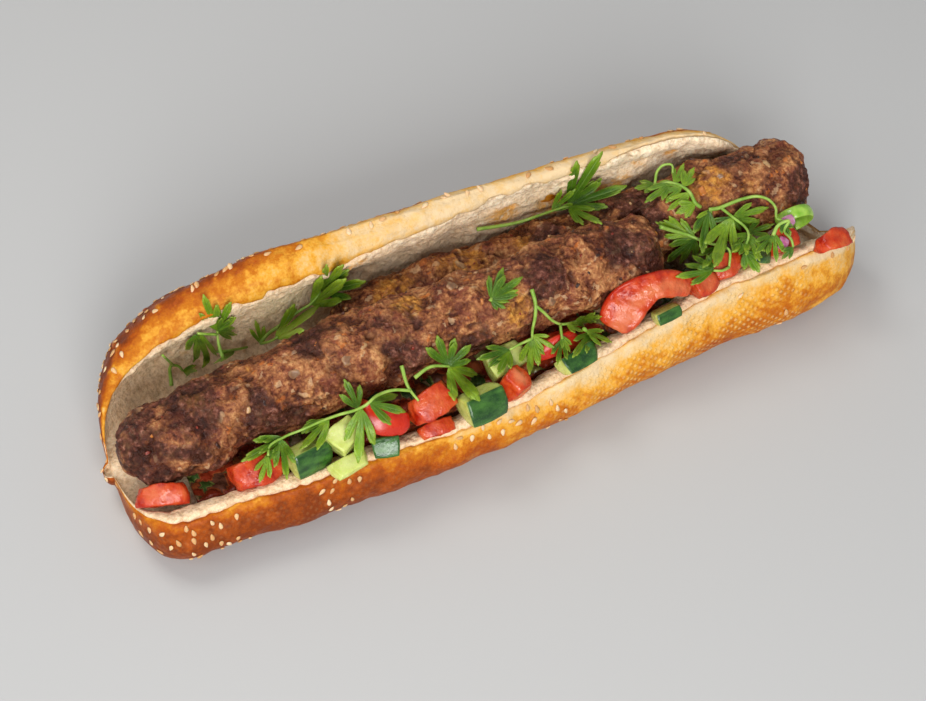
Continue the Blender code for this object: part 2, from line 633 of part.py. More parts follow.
def make_bed(collection):
    rings = []
    for x in np.linspace(*BED_X, 20):
        # The floor of the bed follows the slit, and its top is lumpy and lies under the kebab.
        slit = np.array(roll_section(x)[8:13])
        across = np.linspace(slit[1, 0] + 1.0, BED_BACK, 5)
        floor = np.interp(across, *slit.T) + BED_GAP
        top = BED_TOP - 5.0 * smooth(-60, -115, x) + 1.5 * smooth(40, 100, x) + 0.8 * lumps(x, across / 6.0, 5)
        top = np.maximum(top, floor + 1.5)
        low = np.stack([np.full(5, x), across, floor], -1)
        high = np.stack([np.full(5, x), across, top], -1)
        rings.append(np.concatenate([low, high[::-1]]))
    rings = np.array(rings)
    flat = clear_of_kebab(rings.reshape(-1, 3), KEBAB_FRONT, 0.9)
    mesh = loft("salad_bed", flat.reshape(rings.shape))
    return new_object("salad_bed", mesh, collection, "salad")


def crust_points(rng, count, front):
    """Places for sesame seeds on the crust, none nearer to another than the spacing: (x, y, z) in the tables."""
    found = []
    tries = 0
    while len(found) < count and tries < 20000:
        tries += 1
        if front:
            x = rng.choice([rng.gauss(-85, 26), rng.gauss(10, 45), rng.uniform(-128, 128)])
            place = 5.75 - abs(rng.gauss(0, 1.0))
            first, last = 3.1, 5.75
        else:
            x = rng.uniform(-126, 96)
            place = rng.uniform(20.3, 23.6) if rng.random() < 0.25 else rng.gauss(19.6, 0.75)
            first, last = 18.3, 23.6
        if not (-128 < x < 128 and first < place < last):
            continue
        section = roll_section(x)
        i = int(place)
        (y0, z0), (y1, z1) = section[i], section[i + 1]
        share = place - i
        point = Vector((x, y0 + (y1 - y0) * share, z0 + (z1 - z0) * share))
        if all((point - other).length > SEED_SPACING for other in found):
            found.append(point)
    return found


def add_seeds(roll):
    """Fuses sesame seeds to the crust: flat ovals half sunk in it, each turned its own way."""
    rng = random.Random(11)
    tree = tree_of([roll])
    seeds = bpy.data.collections.new("seeds")
    bpy.context.scene.collection.children.link(seeds)
    for point in crust_points(rng, SEEDS_FRONT, True) + crust_points(rng, SEEDS_LID, False):
        place, normal, _, _ = tree.find_nearest(point)
        turn = normal.to_track_quat("Z", "Y").to_matrix().to_4x4() @ Matrix.Rotation(rng.uniform(0, math.pi), 4, "Z")
        size = rng.uniform(0.9, 1.1)
        scale = Matrix.Diagonal((SEED[0] * size * MM, SEED[1] * size * MM, SEED[2] * MM, 1.0))
        shell = bmesh.new()
        bmesh.ops.create_uvsphere(shell, u_segments=6, v_segments=3, radius=1.0)
        mesh = bpy.data.meshes.new("seed")
        where = Matrix.Translation((place + normal * (SEED[2] - SEED_SINK - 0.12) * 0.5) * MM)
        bmesh.ops.transform(shell, matrix=where @ turn @ scale, verts=shell.verts)
        shell.to_mesh(mesh)
        shell.free()
        seeds.objects.link(bpy.data.objects.new("seed", mesh))
    fuse(roll, seeds, "EXACT", 0.02)


def shells_of(shell):
    """The sets of faces that hang together by their corners, smallest first."""
    left = set(shell.faces)
    shells = []
    while left:
        found = {left.pop()}
        rim = list(found)
        while rim:
            near = {face for face in rim for point in face.verts for face in point.link_faces} - found
            found |= near
            rim = list(near)
        left -= found
        shells.append(found)
    return sorted(shells, key=len)


def fuse(thing, others, solver, flat_enough):
    """Joins a collection of solids to a solid, then removes the collection and its objects. Faces that meet
    at less than flat_enough degrees become one before they are split into triangles again."""
    union = thing.modifiers.new("fuse", "BOOLEAN")
    union.operation = "UNION"
    union.operand_type = "COLLECTION"
    union.collection = others
    union.solver = solver
    if solver == "EXACT":
        union.use_self = True
    bpy.context.view_layer.update()
    graph = bpy.context.evaluated_depsgraph_get()
    joined = bpy.data.meshes.new_from_object(thing.evaluated_get(graph))
    thing.modifiers.remove(union)
    old = thing.data
    joined.name = old.name
    thing.data = joined
    for other in list(others.objects):
        bpy.data.objects.remove(other)
    bpy.data.collections.remove(others)
    shell = bmesh.new()
    shell.from_mesh(joined)
    # Where thin leaves cross, a union can close off a pocket of a few hundredths of a millimetre.
    for pocket in shells_of(shell)[:-1]:
        bmesh.ops.delete(shell, geom=list({point for face in pocket for point in face.verts}), context="VERTS")
    bmesh.ops.dissolve_limit(shell, angle_limit=math.radians(flat_enough), verts=shell.verts, edges=shell.edges)
    shell.to_mesh(joined)
    shell.free()
    finish_mesh(joined)


def plane_axes():
    """The slanting plane's right, up and outward directions."""
    a, e = math.radians(PLANE_TURN), math.radians(PLANE_TILT)
    right = np.array([math.cos(a), math.sin(a), 0.0])
    out = np.array([math.sin(a) * math.cos(e), -math.cos(a) * math.cos(e), math.sin(e)])
    return right, np.cross(out, right), out


def cover_over(placed):
    """The height, along the plane's outward direction, of a cloth laid loosely over the placed pieces:
    a function of arrays u and v."""
    tree = tree_of(placed)
    right, up, out = plane_axes()
    us = np.arange(-150.0, 150.0, COVER_STEP)
    vs = np.arange(-80.0, 90.0, COVER_STEP)
    height = np.full((len(us), len(vs)), -60.0)
    for i, u in enumerate(us):
        for j, v in enumerate(vs):
            hit = tree.ray_cast(Vector(right * u + up * v + out * 300.0), Vector(-out))
            if hit[0] is not None:
                height[i, j] = 300.0 - hit[3]
    touched = height.copy()
    for di in (-1, 0, 1):
        for dj in (-1, 0, 1):
            touched = np.maximum(touched, np.roll(height, (di, dj), (0, 1)))
    loose = touched.copy()
    for _ in range(5):
        loose = (loose * 2 + sum(np.roll(loose, way, (0, 1)) for way in ((1, 0), (-1, 0), (0, 1), (0, -1)))) / 6
        loose = np.maximum(loose, touched)

    def cover(u, v):
        i = np.clip((np.asarray(u) - us[0]) / COVER_STEP, 0, len(us) - 1.001)
        j = np.clip((np.asarray(v) - vs[0]) / COVER_STEP, 0, len(vs) - 1.001)
        a, b = i.astype(int), j.astype(int)
        p, q = i - a, j - b
        low = loose[a, b] * (1 - p) + loose[a + 1, b] * p
        high = loose[a, b + 1] * (1 - p) + loose[a + 1, b + 1] * p
        return low * (1 - q) + high * q

    return cover


def in_space(flat, height):
    """Points of the plane (u, v) at heights above it, in the sandwich's coordinates."""
    right, up, out = plane_axes()
    return flat[:, :1] * right + flat[:, 1:] * up + np.asarray(height)[:, None] * out


def stem_line(points, cover, earlier, lift):
    """A stem's middle line as rows (u, v, height), with a station at least every 8 mm, lifted off the cover.
    A branch starts on the nearest point of the stems made before it."""
    start = nearest_on(earlier, *points[0]) if earlier else None
    line = [start[:2] if earlier else np.array(points[0])]
    for a, b in zip(points, points[1:]):
        steps = max(1, round(math.dist(a, b) / 8.0))
        line += [np.array(a) + (np.array(b) - np.array(a)) * (k + 1) / steps for k in range(steps)]
    line = np.array(line)
    height = cover(line[:, 0], line[:, 1]) + lift
    # A stem is stiff: it bridges hollows rather than following them down.
    for _ in range(2):
        height[1:-1] = np.maximum(height[1:-1], (height[:-2] + height[2:]) / 2)
    if earlier:
        height[0] = start[2]
    return np.column_stack([line, height])


def nearest_on(lines, u, v):
    """The point (u, v, height) of the stems' middle lines that is nearest to (u, v) on the plane."""
    found, nearest = 1e9, None
    for line in lines:
        for a, b in zip(line, line[1:]):
            step = b[:2] - a[:2]
            share = np.clip((np.array([u, v]) - a[:2]) @ step / max(step @ step, 1e-9), 0.0, 1.0)
            point = a + share * (b - a)
            far = math.dist(point[:2], (u, v))
            if far < found:
                found, nearest = far, point
    return nearest


def stem_mesh(line):
    """A thin three-sided stem along its middle line."""
    ahead = np.gradient(line[:, :2], axis=0)
    ahead /= np.linalg.norm(ahead, axis=1, keepdims=True)
    side = np.stack([ahead[:, 1], -ahead[:, 0]], -1) * STEM_RADIUS
    flat, height = line[:, :2], line[:, 2]
    rings = np.stack([
        in_space(flat + side, height - STEM_RADIUS * 0.7),
        in_space(flat, height + STEM_RADIUS * 1.1),
        in_space(flat - side, height - STEM_RADIUS * 0.7),
    ], 1)
    return loft("stem", rings)


def leaf_mesh(leaf, cover, curl, root, lift):
    """A thin three-lobed leaflet, from its root's height to a curling tip. Its upper and lower faces are
    split into the same triangles."""
    u0, v0, u1, v1, width = leaf
    base = np.array([u0, v0])
    along = np.array([u1 - u0, v1 - v0])
    across = np.array([along[1], -along[0]]) / np.linalg.norm(along) * width / 2
    right_side = [(t, s) for t, s in LEAF_OUTLINE]
    rim = right_side + [(1.0, 0.0)] + [(t, -s) for t, s in reversed(right_side)]
    shape = np.array([*rim, (LEAF_MIDRIB, 0.0)])
    flat = base + shape[:, :1] * along + shape[:, 1:] * across
    ahead = np.clip(shape[:, 0], 0, 1)
    height = cover(flat[:, 0], flat[:, 1]) + lift + curl * ahead**2 + 0.06 * width * np.abs(shape[:, 1])
    height += (root - cover(u0, v0) - lift) * (1 - ahead) ** 2
    around = len(rim)
    upper = [(i, (i + 1) % around, around) for i in range(around)]
    # Between its corners the leaflet is flat, so it is raised where a bump would come through.
    for shares in ((0.34, 0.33, 0.33), (0.5, 0.5, 0), (0, 0.5, 0.5), (0.5, 0, 0.5), (0.25, 0.75, 0), (0.75, 0.25, 0)):
        for face in upper:
            spot = np.array(shares) @ flat[list(face)]
            lack = cover(*spot) + 0.75 - np.array(shares) @ height[list(face)]
            if lack > 0:
                height[list(face)] += lack
    height[ahead < 0.01] = root
    top = in_space(flat, height + LEAF_THICK / 2)
    low = in_space(flat, height - LEAF_THICK / 2)
    count = len(shape)
    faces = upper + [tuple(count + i for i in reversed(face)) for face in upper]
    for i in range(around):
        j = (i + 1) % around
        faces += [(i, count + i, count + j), (i, count + j, j)]
    mesh = bpy.data.meshes.new("leaf")
    mesh.from_pydata([Vector(p) * MM for p in np.concatenate([top, low])], [], faces)
    finish_mesh(mesh)
    return mesh


def make_sprig(number, stems, leaves, placed, collection):
    """Joins a sprig's stems and leaflets into one solid lying on the pieces placed before it, and lifts it
    in small steps until it is clear of them."""
    cover = cover_over(placed)
    obstacles = tree_of(placed, 0.05)
    name = f"parsley_{number + 1:02d}"
    for step in range(LIFT_STEPS):
        lift = LEAF_LIFT + LIFT_STEP * step
        rng = random.Random(PARSLEY_SEED + number)
        lines = []
        for stem in stems:
            lines.append(stem_line(stem, cover, lines, lift))
        meshes = [stem_mesh(line) for line in lines]
        for leaf in leaves:
            # No two roots are quite the same, so that no two faces fall together where leaflets meet.
            root = nearest_on(lines, *leaf[:2]) + np.array([rng.uniform(-0.2, 0.2) for _ in range(3)])
            meshes.append(leaf_mesh((*root[:2], *leaf[2:]), cover, rng.uniform(0.6, 2.6), root[2], lift))
        sprig = new_object(name, meshes[0], collection, "parsley")
        sprig.data.name = name
        rest = bpy.data.collections.new("leaflets")
        bpy.context.scene.collection.children.link(rest)
        for mesh in meshes[1:]:
            rest.objects.link(bpy.data.objects.new("leaflet", mesh))
        fuse(sprig, rest, "EXACT", 2.0)
        if not obstacles.overlap(tree_of([sprig])):
            return sprig
        bpy.data.objects.remove(sprig)
    raise RuntimeError(f"{name} found no room")


def main():
    clear_scene()
    sandwich = bpy.data.collections.new("kebab_sandwich")
    bpy.context.scene.collection.children.link(sandwich)
    roll = make_roll(sandwich)
    placed = [
        roll,
        make_kebab("kebab_front", KEBAB_FRONT, 3, roll, sandwich),
        make_kebab("kebab_back", KEBAB_BACK, 8, roll, sandwich, KEBAB_FRONT),
        make_bed(sandwich),
    ]
    placed.append(make_arch(placed, sandwich))
    for number, (finish, middle, half, turns, skin, narrowing) in enumerate(DICE):
        placed.append(make_dice(number, finish, middle, half, turns, skin, narrowing, placed, sandwich))
    placed.append(make_pepper(placed, sandwich))
    for number, (stems, leaves) in enumerate(PARSLEY):
        placed.append(make_sprig(number, stems, leaves, placed, sandwich))
    add_seeds(roll)
    for thing in placed:
        thing.data.transform(Matrix.Translation(Vector(CENTRING) * MM))


main()
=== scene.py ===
# %% [markdown]
# # A kebab sandwich, dressed for the camera
# A long sesame roll, slit along its front and opened on its back hinge, holds two minced-meat kebabs
# over chopped tomato and cucumber, with parsley sprigs on top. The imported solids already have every
# piece's place and main form. Each cell here makes one kind of piece again with a fine surface, from the
# same formulas as the solids, and gives it a finish made of shader nodes.

# %% Load the frame
import math

import bpy
import numpy as np
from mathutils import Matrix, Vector


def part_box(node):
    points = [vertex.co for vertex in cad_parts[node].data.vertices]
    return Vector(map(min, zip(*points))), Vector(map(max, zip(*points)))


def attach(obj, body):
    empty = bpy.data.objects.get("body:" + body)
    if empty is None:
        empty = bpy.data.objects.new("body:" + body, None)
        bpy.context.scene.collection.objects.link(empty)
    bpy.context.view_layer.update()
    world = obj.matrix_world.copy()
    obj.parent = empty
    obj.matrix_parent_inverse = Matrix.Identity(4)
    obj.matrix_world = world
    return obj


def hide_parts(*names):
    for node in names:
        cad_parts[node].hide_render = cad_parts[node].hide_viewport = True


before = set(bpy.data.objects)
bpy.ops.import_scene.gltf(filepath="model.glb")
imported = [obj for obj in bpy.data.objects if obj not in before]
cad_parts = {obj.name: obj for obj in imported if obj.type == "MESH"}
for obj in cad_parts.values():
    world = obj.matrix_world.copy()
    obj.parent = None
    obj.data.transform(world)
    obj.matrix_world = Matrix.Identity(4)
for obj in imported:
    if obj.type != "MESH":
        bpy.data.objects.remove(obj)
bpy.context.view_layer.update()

# One millimetre in metres, and the way from the tables' origin to the frame's in millimetres.
MM = 0.001
CENTRING = np.array((1.85, 0.23, 0.0))

# %% [markdown]
# The formulas below work in millimetres, from the origin that the solids' own tables use, and CENTRING
# moves them to the middle of the finished sandwich. Food is never smooth, so nearly every surface needs
# noise. Blender has noise textures, but those only colour a surface or bend its light. Noise worked out
# with numpy moves the points themselves, for a whole surface at once.


# %% Curves and noise for whole arrays of points
def smooth(low, high, value):
    """0 below low, 1 above high, and an even S-curve between."""
    t = np.clip((np.asarray(value, float) - low) / (high - low), 0.0, 1.0)
    return t * t * (3.0 - 2.0 * t)


def mix(pair, share):
    """The value that lies a share of the way from the pair's first to its second."""
    return pair[0] + (pair[1] - pair[0]) * share


def blunt(distance, length, power):
    """A rounded end: 0 at the tip, 1 at length from it. A higher power is blunter."""
    s = np.clip(distance / length, 0.0, 1.0)
    return (1.0 - (1.0 - s) ** power) ** (1.0 / power)


def hermite(a, b, slope_a, slope_b, t):
    """The cubic curve from a to b with the given slopes at its ends, at a share t of the way."""
    from_a = (2 * t**3 - 3 * t**2 + 1) * a + (t**3 - 2 * t**2 + t) * slope_a
    return from_a + (3 * t**2 - 2 * t**3) * b + (t**3 - t**2) * slope_b


# Random numbers to look up, a power of two of them, and primes that spread the cells among them.
CHANCE = np.random.default_rng(1).uniform(0.0, 1.0, 2**16)
PRIMES = np.array((73856093, 19349663, 83492791))
TURN_PRIME = 6151


def chance_at(cells, turn):
    """A random number from 0 to 1 that belongs to each whole-numbered cell."""
    key = cells @ PRIMES + turn * TURN_PRIME
    return CHANCE[(key ^ (key >> 11)) & (len(CHANCE) - 1)]


def waves(points, size, seed):
    """Uneven waves about size mm across, from -1 to 1: random numbers at the corners of cubes, blended
    across each cube with an S-curve."""
    spots = points / size + seed * 3.17
    cell = np.floor(spots).astype(np.int64)
    part = spots - cell
    part = part * part * (3.0 - 2.0 * part)
    total = np.zeros(points.shape[:-1])
    for corner in np.ndindex(2, 2, 2):
        share = np.prod(np.where(corner, part, 1.0 - part), axis=-1)
        total += share * chance_at(cell + np.array(corner), seed)
    return total * 2.0 - 1.0


def rough(points, size, seed, octaves=3):
    """Waves with ever finer waves on them, each half as wide and half as high as the last."""
    return sum(0.5**k * waves(points, size / 2**k, seed + k) for k in range(octaves))


def grains(points, size, seed):
    """How far each point is from the nearest and the next nearest of random middles, one in each cube of
    side size, as shares of size, and a random number that belongs to the nearest."""
    spots = points / size + seed * 5.71
    cell = np.floor(spots).astype(np.int64)
    first = np.full(points.shape[:-1], 9.0)
    second = first.copy()
    owner = np.zeros(first.shape)
    for step in np.ndindex(3, 3, 3):
        cube = cell + np.array(step) - 1
        middle = cube + np.stack([chance_at(cube, seed + k) for k in (11, 22, 33)], -1)
        far = np.linalg.norm(spots - middle, axis=-1)
        nearer = far < first
        second = np.where(nearer, first, np.minimum(second, far))
        owner = np.where(nearer, chance_at(cube, seed + 44), owner)
        first = np.where(nearer, far, first)
    return first, second, owner


# %% [markdown]
# Every surface here is a grid of points, and its mesh needs the faces between them. A grid that closes
# round a body wraps its columns, and its two end rings are filled by a fan of triangles to one point.
# Filling the mesh with foreach_set puts in a hundred thousand points at once. Values that the finish
# needs, such as how deeply the crust is baked, are stored on the points as named attributes.


# %% Put grids into meshes
def grid_quads(rows, columns, start=0, wrap=True):
    """The faces of a grid of points that is read row by row."""
    i = np.arange(rows - 1)[:, None] * columns
    j = np.arange(columns if wrap else columns - 1)[None, :]
    k = (j + 1) % columns
    return start + np.stack([i + j, i + k, i + columns + k, i + columns + j], -1).reshape(-1, 4)


def put_mesh(name, points, quads, triangles=(), values=None, maps=None):
    """A mesh from points in table millimetres, with its faces, point values and UV map."""
    points = (np.asarray(points, float) + CENTRING) * MM
    corners = np.concatenate([np.asarray(quads).reshape(-1), np.asarray(triangles, int).reshape(-1)])
    sides = np.concatenate([np.full(len(quads), 4), np.full(len(triangles), 3)])
    mesh = bpy.data.meshes.new(name)
    mesh.vertices.add(len(points))
    mesh.vertices.foreach_set("co", points.ravel())
    mesh.loops.add(len(corners))
    mesh.loops.foreach_set("vertex_index", corners.astype(np.int32))
    mesh.polygons.add(len(sides))
    mesh.polygons.foreach_set("loop_start", (np.cumsum(sides) - sides).astype(np.int32))
    mesh.polygons.foreach_set("use_smooth", np.ones(len(sides), bool))
    for key, value in (values or {}).items():
        stored = mesh.attributes.new(key, "FLOAT", "POINT")
        stored.data.foreach_set("value", np.asarray(value, np.float32).ravel())
    mesh.update(calc_edges=True)
    mesh.validate()
    if maps is not None:
        layer = mesh.uv_layers.new(name="skin")
        layer.data.foreach_set("uv", np.asarray(maps, np.float32)[corners].ravel())
    return mesh


def sense(grid):
    """1 where the middle ring of a grid along X runs anticlockwise in (y, z), and -1 where clockwise."""
    y, z = grid[len(grid) // 2, :, 1], grid[len(grid) // 2, :, 2]
    return np.sign((y * np.roll(z, -1) - np.roll(y, -1) * z).sum())


def enclosed(points, quads):
    """The volume inside faces, which is negative where they look inwards."""
    a, b, c, d = ((points - points.mean(0))[quads[:, k]] for k in range(4))
    return ((np.cross(a, b) * c).sum() + (np.cross(a, c) * d).sum()) / 6.0


def closed_grid(grid, values=None):
    """Points, faces and values of a wrapped grid, with each end ring filled by a fan to its middle."""
    rows, columns = grid.shape[:2]
    points = np.concatenate([grid.reshape(-1, 3), [grid[0].mean(0), grid[-1].mean(0)]])
    j = np.arange(columns)
    k = (j + 1) % columns
    last = (rows - 1) * columns
    fans = np.concatenate([
        np.stack([np.full(columns, rows * columns), k, j], -1),
        np.stack([np.full(columns, rows * columns + 1), last + j, last + k], -1),
    ])
    more = {}
    for key, value in (values or {}).items():
        more[key] = np.concatenate([value.ravel(), [value[0].mean(), value[-1].mean()]])
    quads = grid_quads(rows, columns)
    order = 1 if enclosed(points, quads) > 0 else -1
    return points, quads[:, ::order], fans[:, ::order], more


def outward(grid):
    """The direction straight out of a wrapped grid at each of its points."""
    along = np.gradient(grid, axis=0)
    around = np.roll(grid, -1, 1) - np.roll(grid, 1, 1)
    out = np.cross(around, along)
    return out / np.maximum(np.linalg.norm(out, axis=-1, keepdims=True), 1e-9) * sense(grid)


# Every piece shown so far, for what is laid on top later.
MADE = []


def show(mesh, finish, slot, *stands_for):
    """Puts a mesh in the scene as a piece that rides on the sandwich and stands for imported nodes."""
    mesh.materials.append(finish)
    piece = bpy.data.objects.new(mesh.name, mesh)
    bpy.context.scene.collection.objects.link(piece)
    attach(piece, "root")
    if stands_for:
        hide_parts(*stands_for)
    MADE.append(piece)
    mesh.calc_loop_triangles()
    print(f"{mesh.name}: {len(mesh.loop_triangles)} triangles")


# %% [markdown]
# Finishes are shader nodes, and two effects come back in nearly all of them: uneven waves of a given size,
# for mottled colours and rough skin, and patches, which are such waves sharpened into a mask or into wet
# and dry places. Each is a node group, built once here and placed in each finish with its own values, so
# that a reader who opens a finish finds named sockets and not a heap of loose nodes.


# %% Node groups that the finishes share
WAVES_INPUTS = (
    ("Vector", "NodeSocketVector", None),
    ("Size", "NodeSocketFloat", 0.005),
    ("Detail", "NodeSocketFloat", 3.0),
    ("Fineness", "NodeSocketFloat", 0.55),
)
PATCHES_INPUTS = WAVES_INPUTS + (
    ("Low", "NodeSocketFloat", 0.35),
    ("High", "NodeSocketFloat", 0.65),
    ("At low", "NodeSocketFloat", 0.0),
    ("At high", "NodeSocketFloat", 1.0),
)


def new_group(name, inputs, output):
    """A node group with named sockets that holds a noise whose waves are Size metres across: its tree, its
    input and output nodes, and the noise's own value from 0 to 1."""
    tree = bpy.data.node_groups.new(name, "ShaderNodeTree")
    for label, kind, value in inputs:
        socket = tree.interface.new_socket(label, in_out="INPUT", socket_type=kind)
        if value is not None:
            socket.default_value = value
    tree.interface.new_socket(output, in_out="OUTPUT", socket_type="NodeSocketFloat")
    given = tree.nodes.new("NodeGroupInput")
    result = tree.nodes.new("NodeGroupOutput")
    scale = tree.nodes.new("ShaderNodeMath")
    scale.operation = "DIVIDE"
    scale.inputs[0].default_value = 1.0
    noise = tree.nodes.new("ShaderNodeTexNoise")
    for source, socket in (
        (given.outputs["Size"], scale.inputs[1]),
        (scale.outputs[0], noise.inputs["Scale"]),
        (given.outputs["Vector"], noise.inputs["Vector"]),
        (given.outputs["Detail"], noise.inputs["Detail"]),
        (given.outputs["Fineness"], noise.inputs["Roughness"]),
    ):
        tree.links.new(source, socket)
    return tree, given, result, noise.outputs["Fac"]


def waves_group():
    """The noise as it is."""
    tree, _, result, value = new_group("Food waves", WAVES_INPUTS, "Value")
    tree.links.new(value, result.inputs["Value"])
    return tree


def patches_group():
    """The noise with an S-curve from Low to High, over which it goes from At low to At high."""
    tree, given, result, value = new_group("Food patches", PATCHES_INPUTS, "Mask")
    sharpen = tree.nodes.new("ShaderNodeMapRange")
    sharpen.interpolation_type = "SMOOTHSTEP"
    tree.links.new(value, sharpen.inputs[0])
    for number, label in enumerate(("Low", "High", "At low", "At high"), 1):
        tree.links.new(given.outputs[label], sharpen.inputs[number])
    tree.links.new(sharpen.outputs[0], result.inputs["Mask"])
    return tree


WAVES = waves_group()
PATCHES = patches_group()
print("node groups:", WAVES.name, "and", PATCHES.name)

# %% [markdown]
# The other moves are single nodes: read a value stored on the points, mix two colours by a mask, and turn
# a height into a bump. Short helpers add them to a finish and keep its recipe readable.


# %% Helpers for shader nodes
class Finish:
    """A material under construction: its tree, its Principled shader and short ways to add nodes. Values
    that are the same all over are set on the shader's own sockets."""

    def __init__(self, name, roughness=0.5, **constants):
        self.material = bpy.data.materials.new(name)
        self.material.use_nodes = True
        self.tree = self.material.node_tree
        self.shader = self.tree.nodes["Principled BSDF"]
        self.shader.inputs["Roughness"].default_value = roughness
        for key, value in constants.items():
            self.shader.inputs[key.replace("_", " ")].default_value = value
        self.place = self.tree.nodes.new("ShaderNodeTexCoord").outputs["Object"]

    def node(self, kind, inputs=(), **settings):
        """A node with its settings, and its inputs linked or filled in."""
        made = self.tree.nodes.new(kind)
        for key, value in settings.items():
            setattr(made, key, value)
        for key, value in dict(inputs).items():
            self.feed(made.inputs[key], value)
        return made

    def feed(self, socket, value):
        """Links a socket to another, or sets its own value."""
        if isinstance(value, bpy.types.NodeSocket):
            self.tree.links.new(value, socket)
        elif isinstance(value, tuple) and len(value) == 3 and socket.type == "RGBA":
            socket.default_value = (*value, 1.0)
        else:
            socket.default_value = value

    def stored(self, name):
        """A value stored on the mesh's points."""
        return self.node("ShaderNodeAttribute", attribute_name=name).outputs["Fac"]

    def noise(self, size_mm, detail=3.0, fineness=0.55, stretch=None):
        """Waves from 0 to 1 about size_mm across, finer where detail is higher, longer where stretched."""
        where = self.place
        if stretch:
            where = self.node("ShaderNodeMapping", {"Vector": where, "Scale": stretch}).outputs[0]
        inputs = {"Vector": where, "Size": size_mm * MM, "Detail": detail, "Fineness": fineness}
        return self.node("ShaderNodeGroup", inputs, node_tree=WAVES).outputs["Value"]

    def patches(self, size_mm, detail, low, high, at_low=0.0, at_high=1.0):
        """Patches about size_mm across, from at_low between them to at_high inside."""
        inputs = {"Vector": self.place, "Size": size_mm * MM, "Detail": detail,
                  "Low": low, "High": high, "At low": at_low, "At high": at_high}
        return self.node("ShaderNodeGroup", inputs, node_tree=PATCHES).outputs["Mask"]

    def specks(self, size_mm):
        """The distance from the nearest of scattered points, about size_mm apart."""
        inputs = {"Vector": self.place, "Scale": 1.0 / (size_mm * MM)}
        return self.node("ShaderNodeTexVoronoi", inputs).outputs["Distance"]

    def band(self, value, low, high):
        """0 below low and 1 above high, with an S-curve between."""
        inputs = {0: value, 1: low, 2: high}
        return self.node("ShaderNodeMapRange", inputs, interpolation_type="SMOOTHSTEP").outputs[0]

    def math(self, operation, a, b=0.0):
        """One step of arithmetic."""
        return self.node("ShaderNodeMath", {0: a, 1: b}, operation=operation).outputs[0]

    def sum(self, *terms):
        """All terms added up."""
        total = terms[0]
        for term in terms[1:]:
            total = self.math("ADD", total, term)
        return total

    def times(self, *terms):
        """All terms multiplied."""
        product = terms[0]
        for term in terms[1:]:
            product = self.math("MULTIPLY", product, term)
        return product

    def blend(self, share, a, b, how="MIX"):
        """Colour a, with colour b over it by a share."""
        mixed = self.node("ShaderNodeMix", data_type="RGBA", blend_type=how)
        for socket, value in ((mixed.inputs[0], share), (mixed.inputs[6], a), (mixed.inputs[7], b)):
            self.feed(socket, value)
        return mixed.outputs[2]

    def ramp(self, value, *stops, between="LINEAR"):
        """Colours along a value: each stop is (place, colour)."""
        ramp = self.node("ShaderNodeValToRGB", {0: value})
        ramp.color_ramp.interpolation = between
        while len(ramp.color_ramp.elements) < len(stops):
            ramp.color_ramp.elements.new(0.5)
        for element, (at, colour) in zip(ramp.color_ramp.elements, stops):
            element.position = at
            element.color = (*colour, 1.0)
        return ramp.outputs[0]

    def bump(self, height, depth_mm, before=None):
        """A normal that follows a height of 0 to 1, depth_mm high, on top of an earlier normal."""
        inputs = {"Height": height, "Distance": depth_mm * MM, "Strength": 1.0}
        made = self.node("ShaderNodeBump", inputs)
        if before is not None:
            self.feed(made.inputs["Normal"], before)
        return made.outputs[0]

    def done(self, colour, normal=None, roughness=None):
        """Feeds the shader and gives back the finished material."""
        for key, value in (("Base Color", colour), ("Normal", normal), ("Roughness", roughness)):
            if value is not None:
                self.feed(self.shader.inputs[key], value)
        return self.material


# %% [markdown]
# ## The roll
# The real roll is one loaf, baked on a perforated tray, then slit along its front and folded open. Its
# outline changes all the way along, so it is worked out for every x: under the base, up the front crust,
# over the cut lip, down into the trough, up the lid's crumb, over its rim and down its back.

# %% The roll's outline at every x
ROLL_END_LEFT = -143.5
ROLL_END_RIGHT = 139.8
# The base: over what length its left and right ends round off, how blunt each is, and the (y, z) that
# they shrink towards.
BASE_END_LEFT = -140.5
BASE_ROUNDING = (22.0, 45.0)
BASE_BLUNTNESS = (3.0, 2.4)
BASE_CENTRE = (-5.0, 13.0)
# The lid: the same, with a longer slope above its centre at the left, and the height that it sinks to at
# the right, of which the least share is always left.
LID_END_RIGHT = 120.0
LID_ROUNDING = (44.0, 42.0)
LID_SLOPE = (74.0, 1.35)
LID_CENTRE_LEFT = (5.0, 24.0)
LID_FOOT_Z = 13.0
LID_LEAST = 0.1
# Where the back starts to turn in at the right and over what length, and how far back it bulges before.
HEEL = (92.0, 39.0)
BACK_BULGE = 45.8
# Left of the base's own end only a thin stub carries the lid's end: its size and its length.
STUB = (0.12, 3.0)


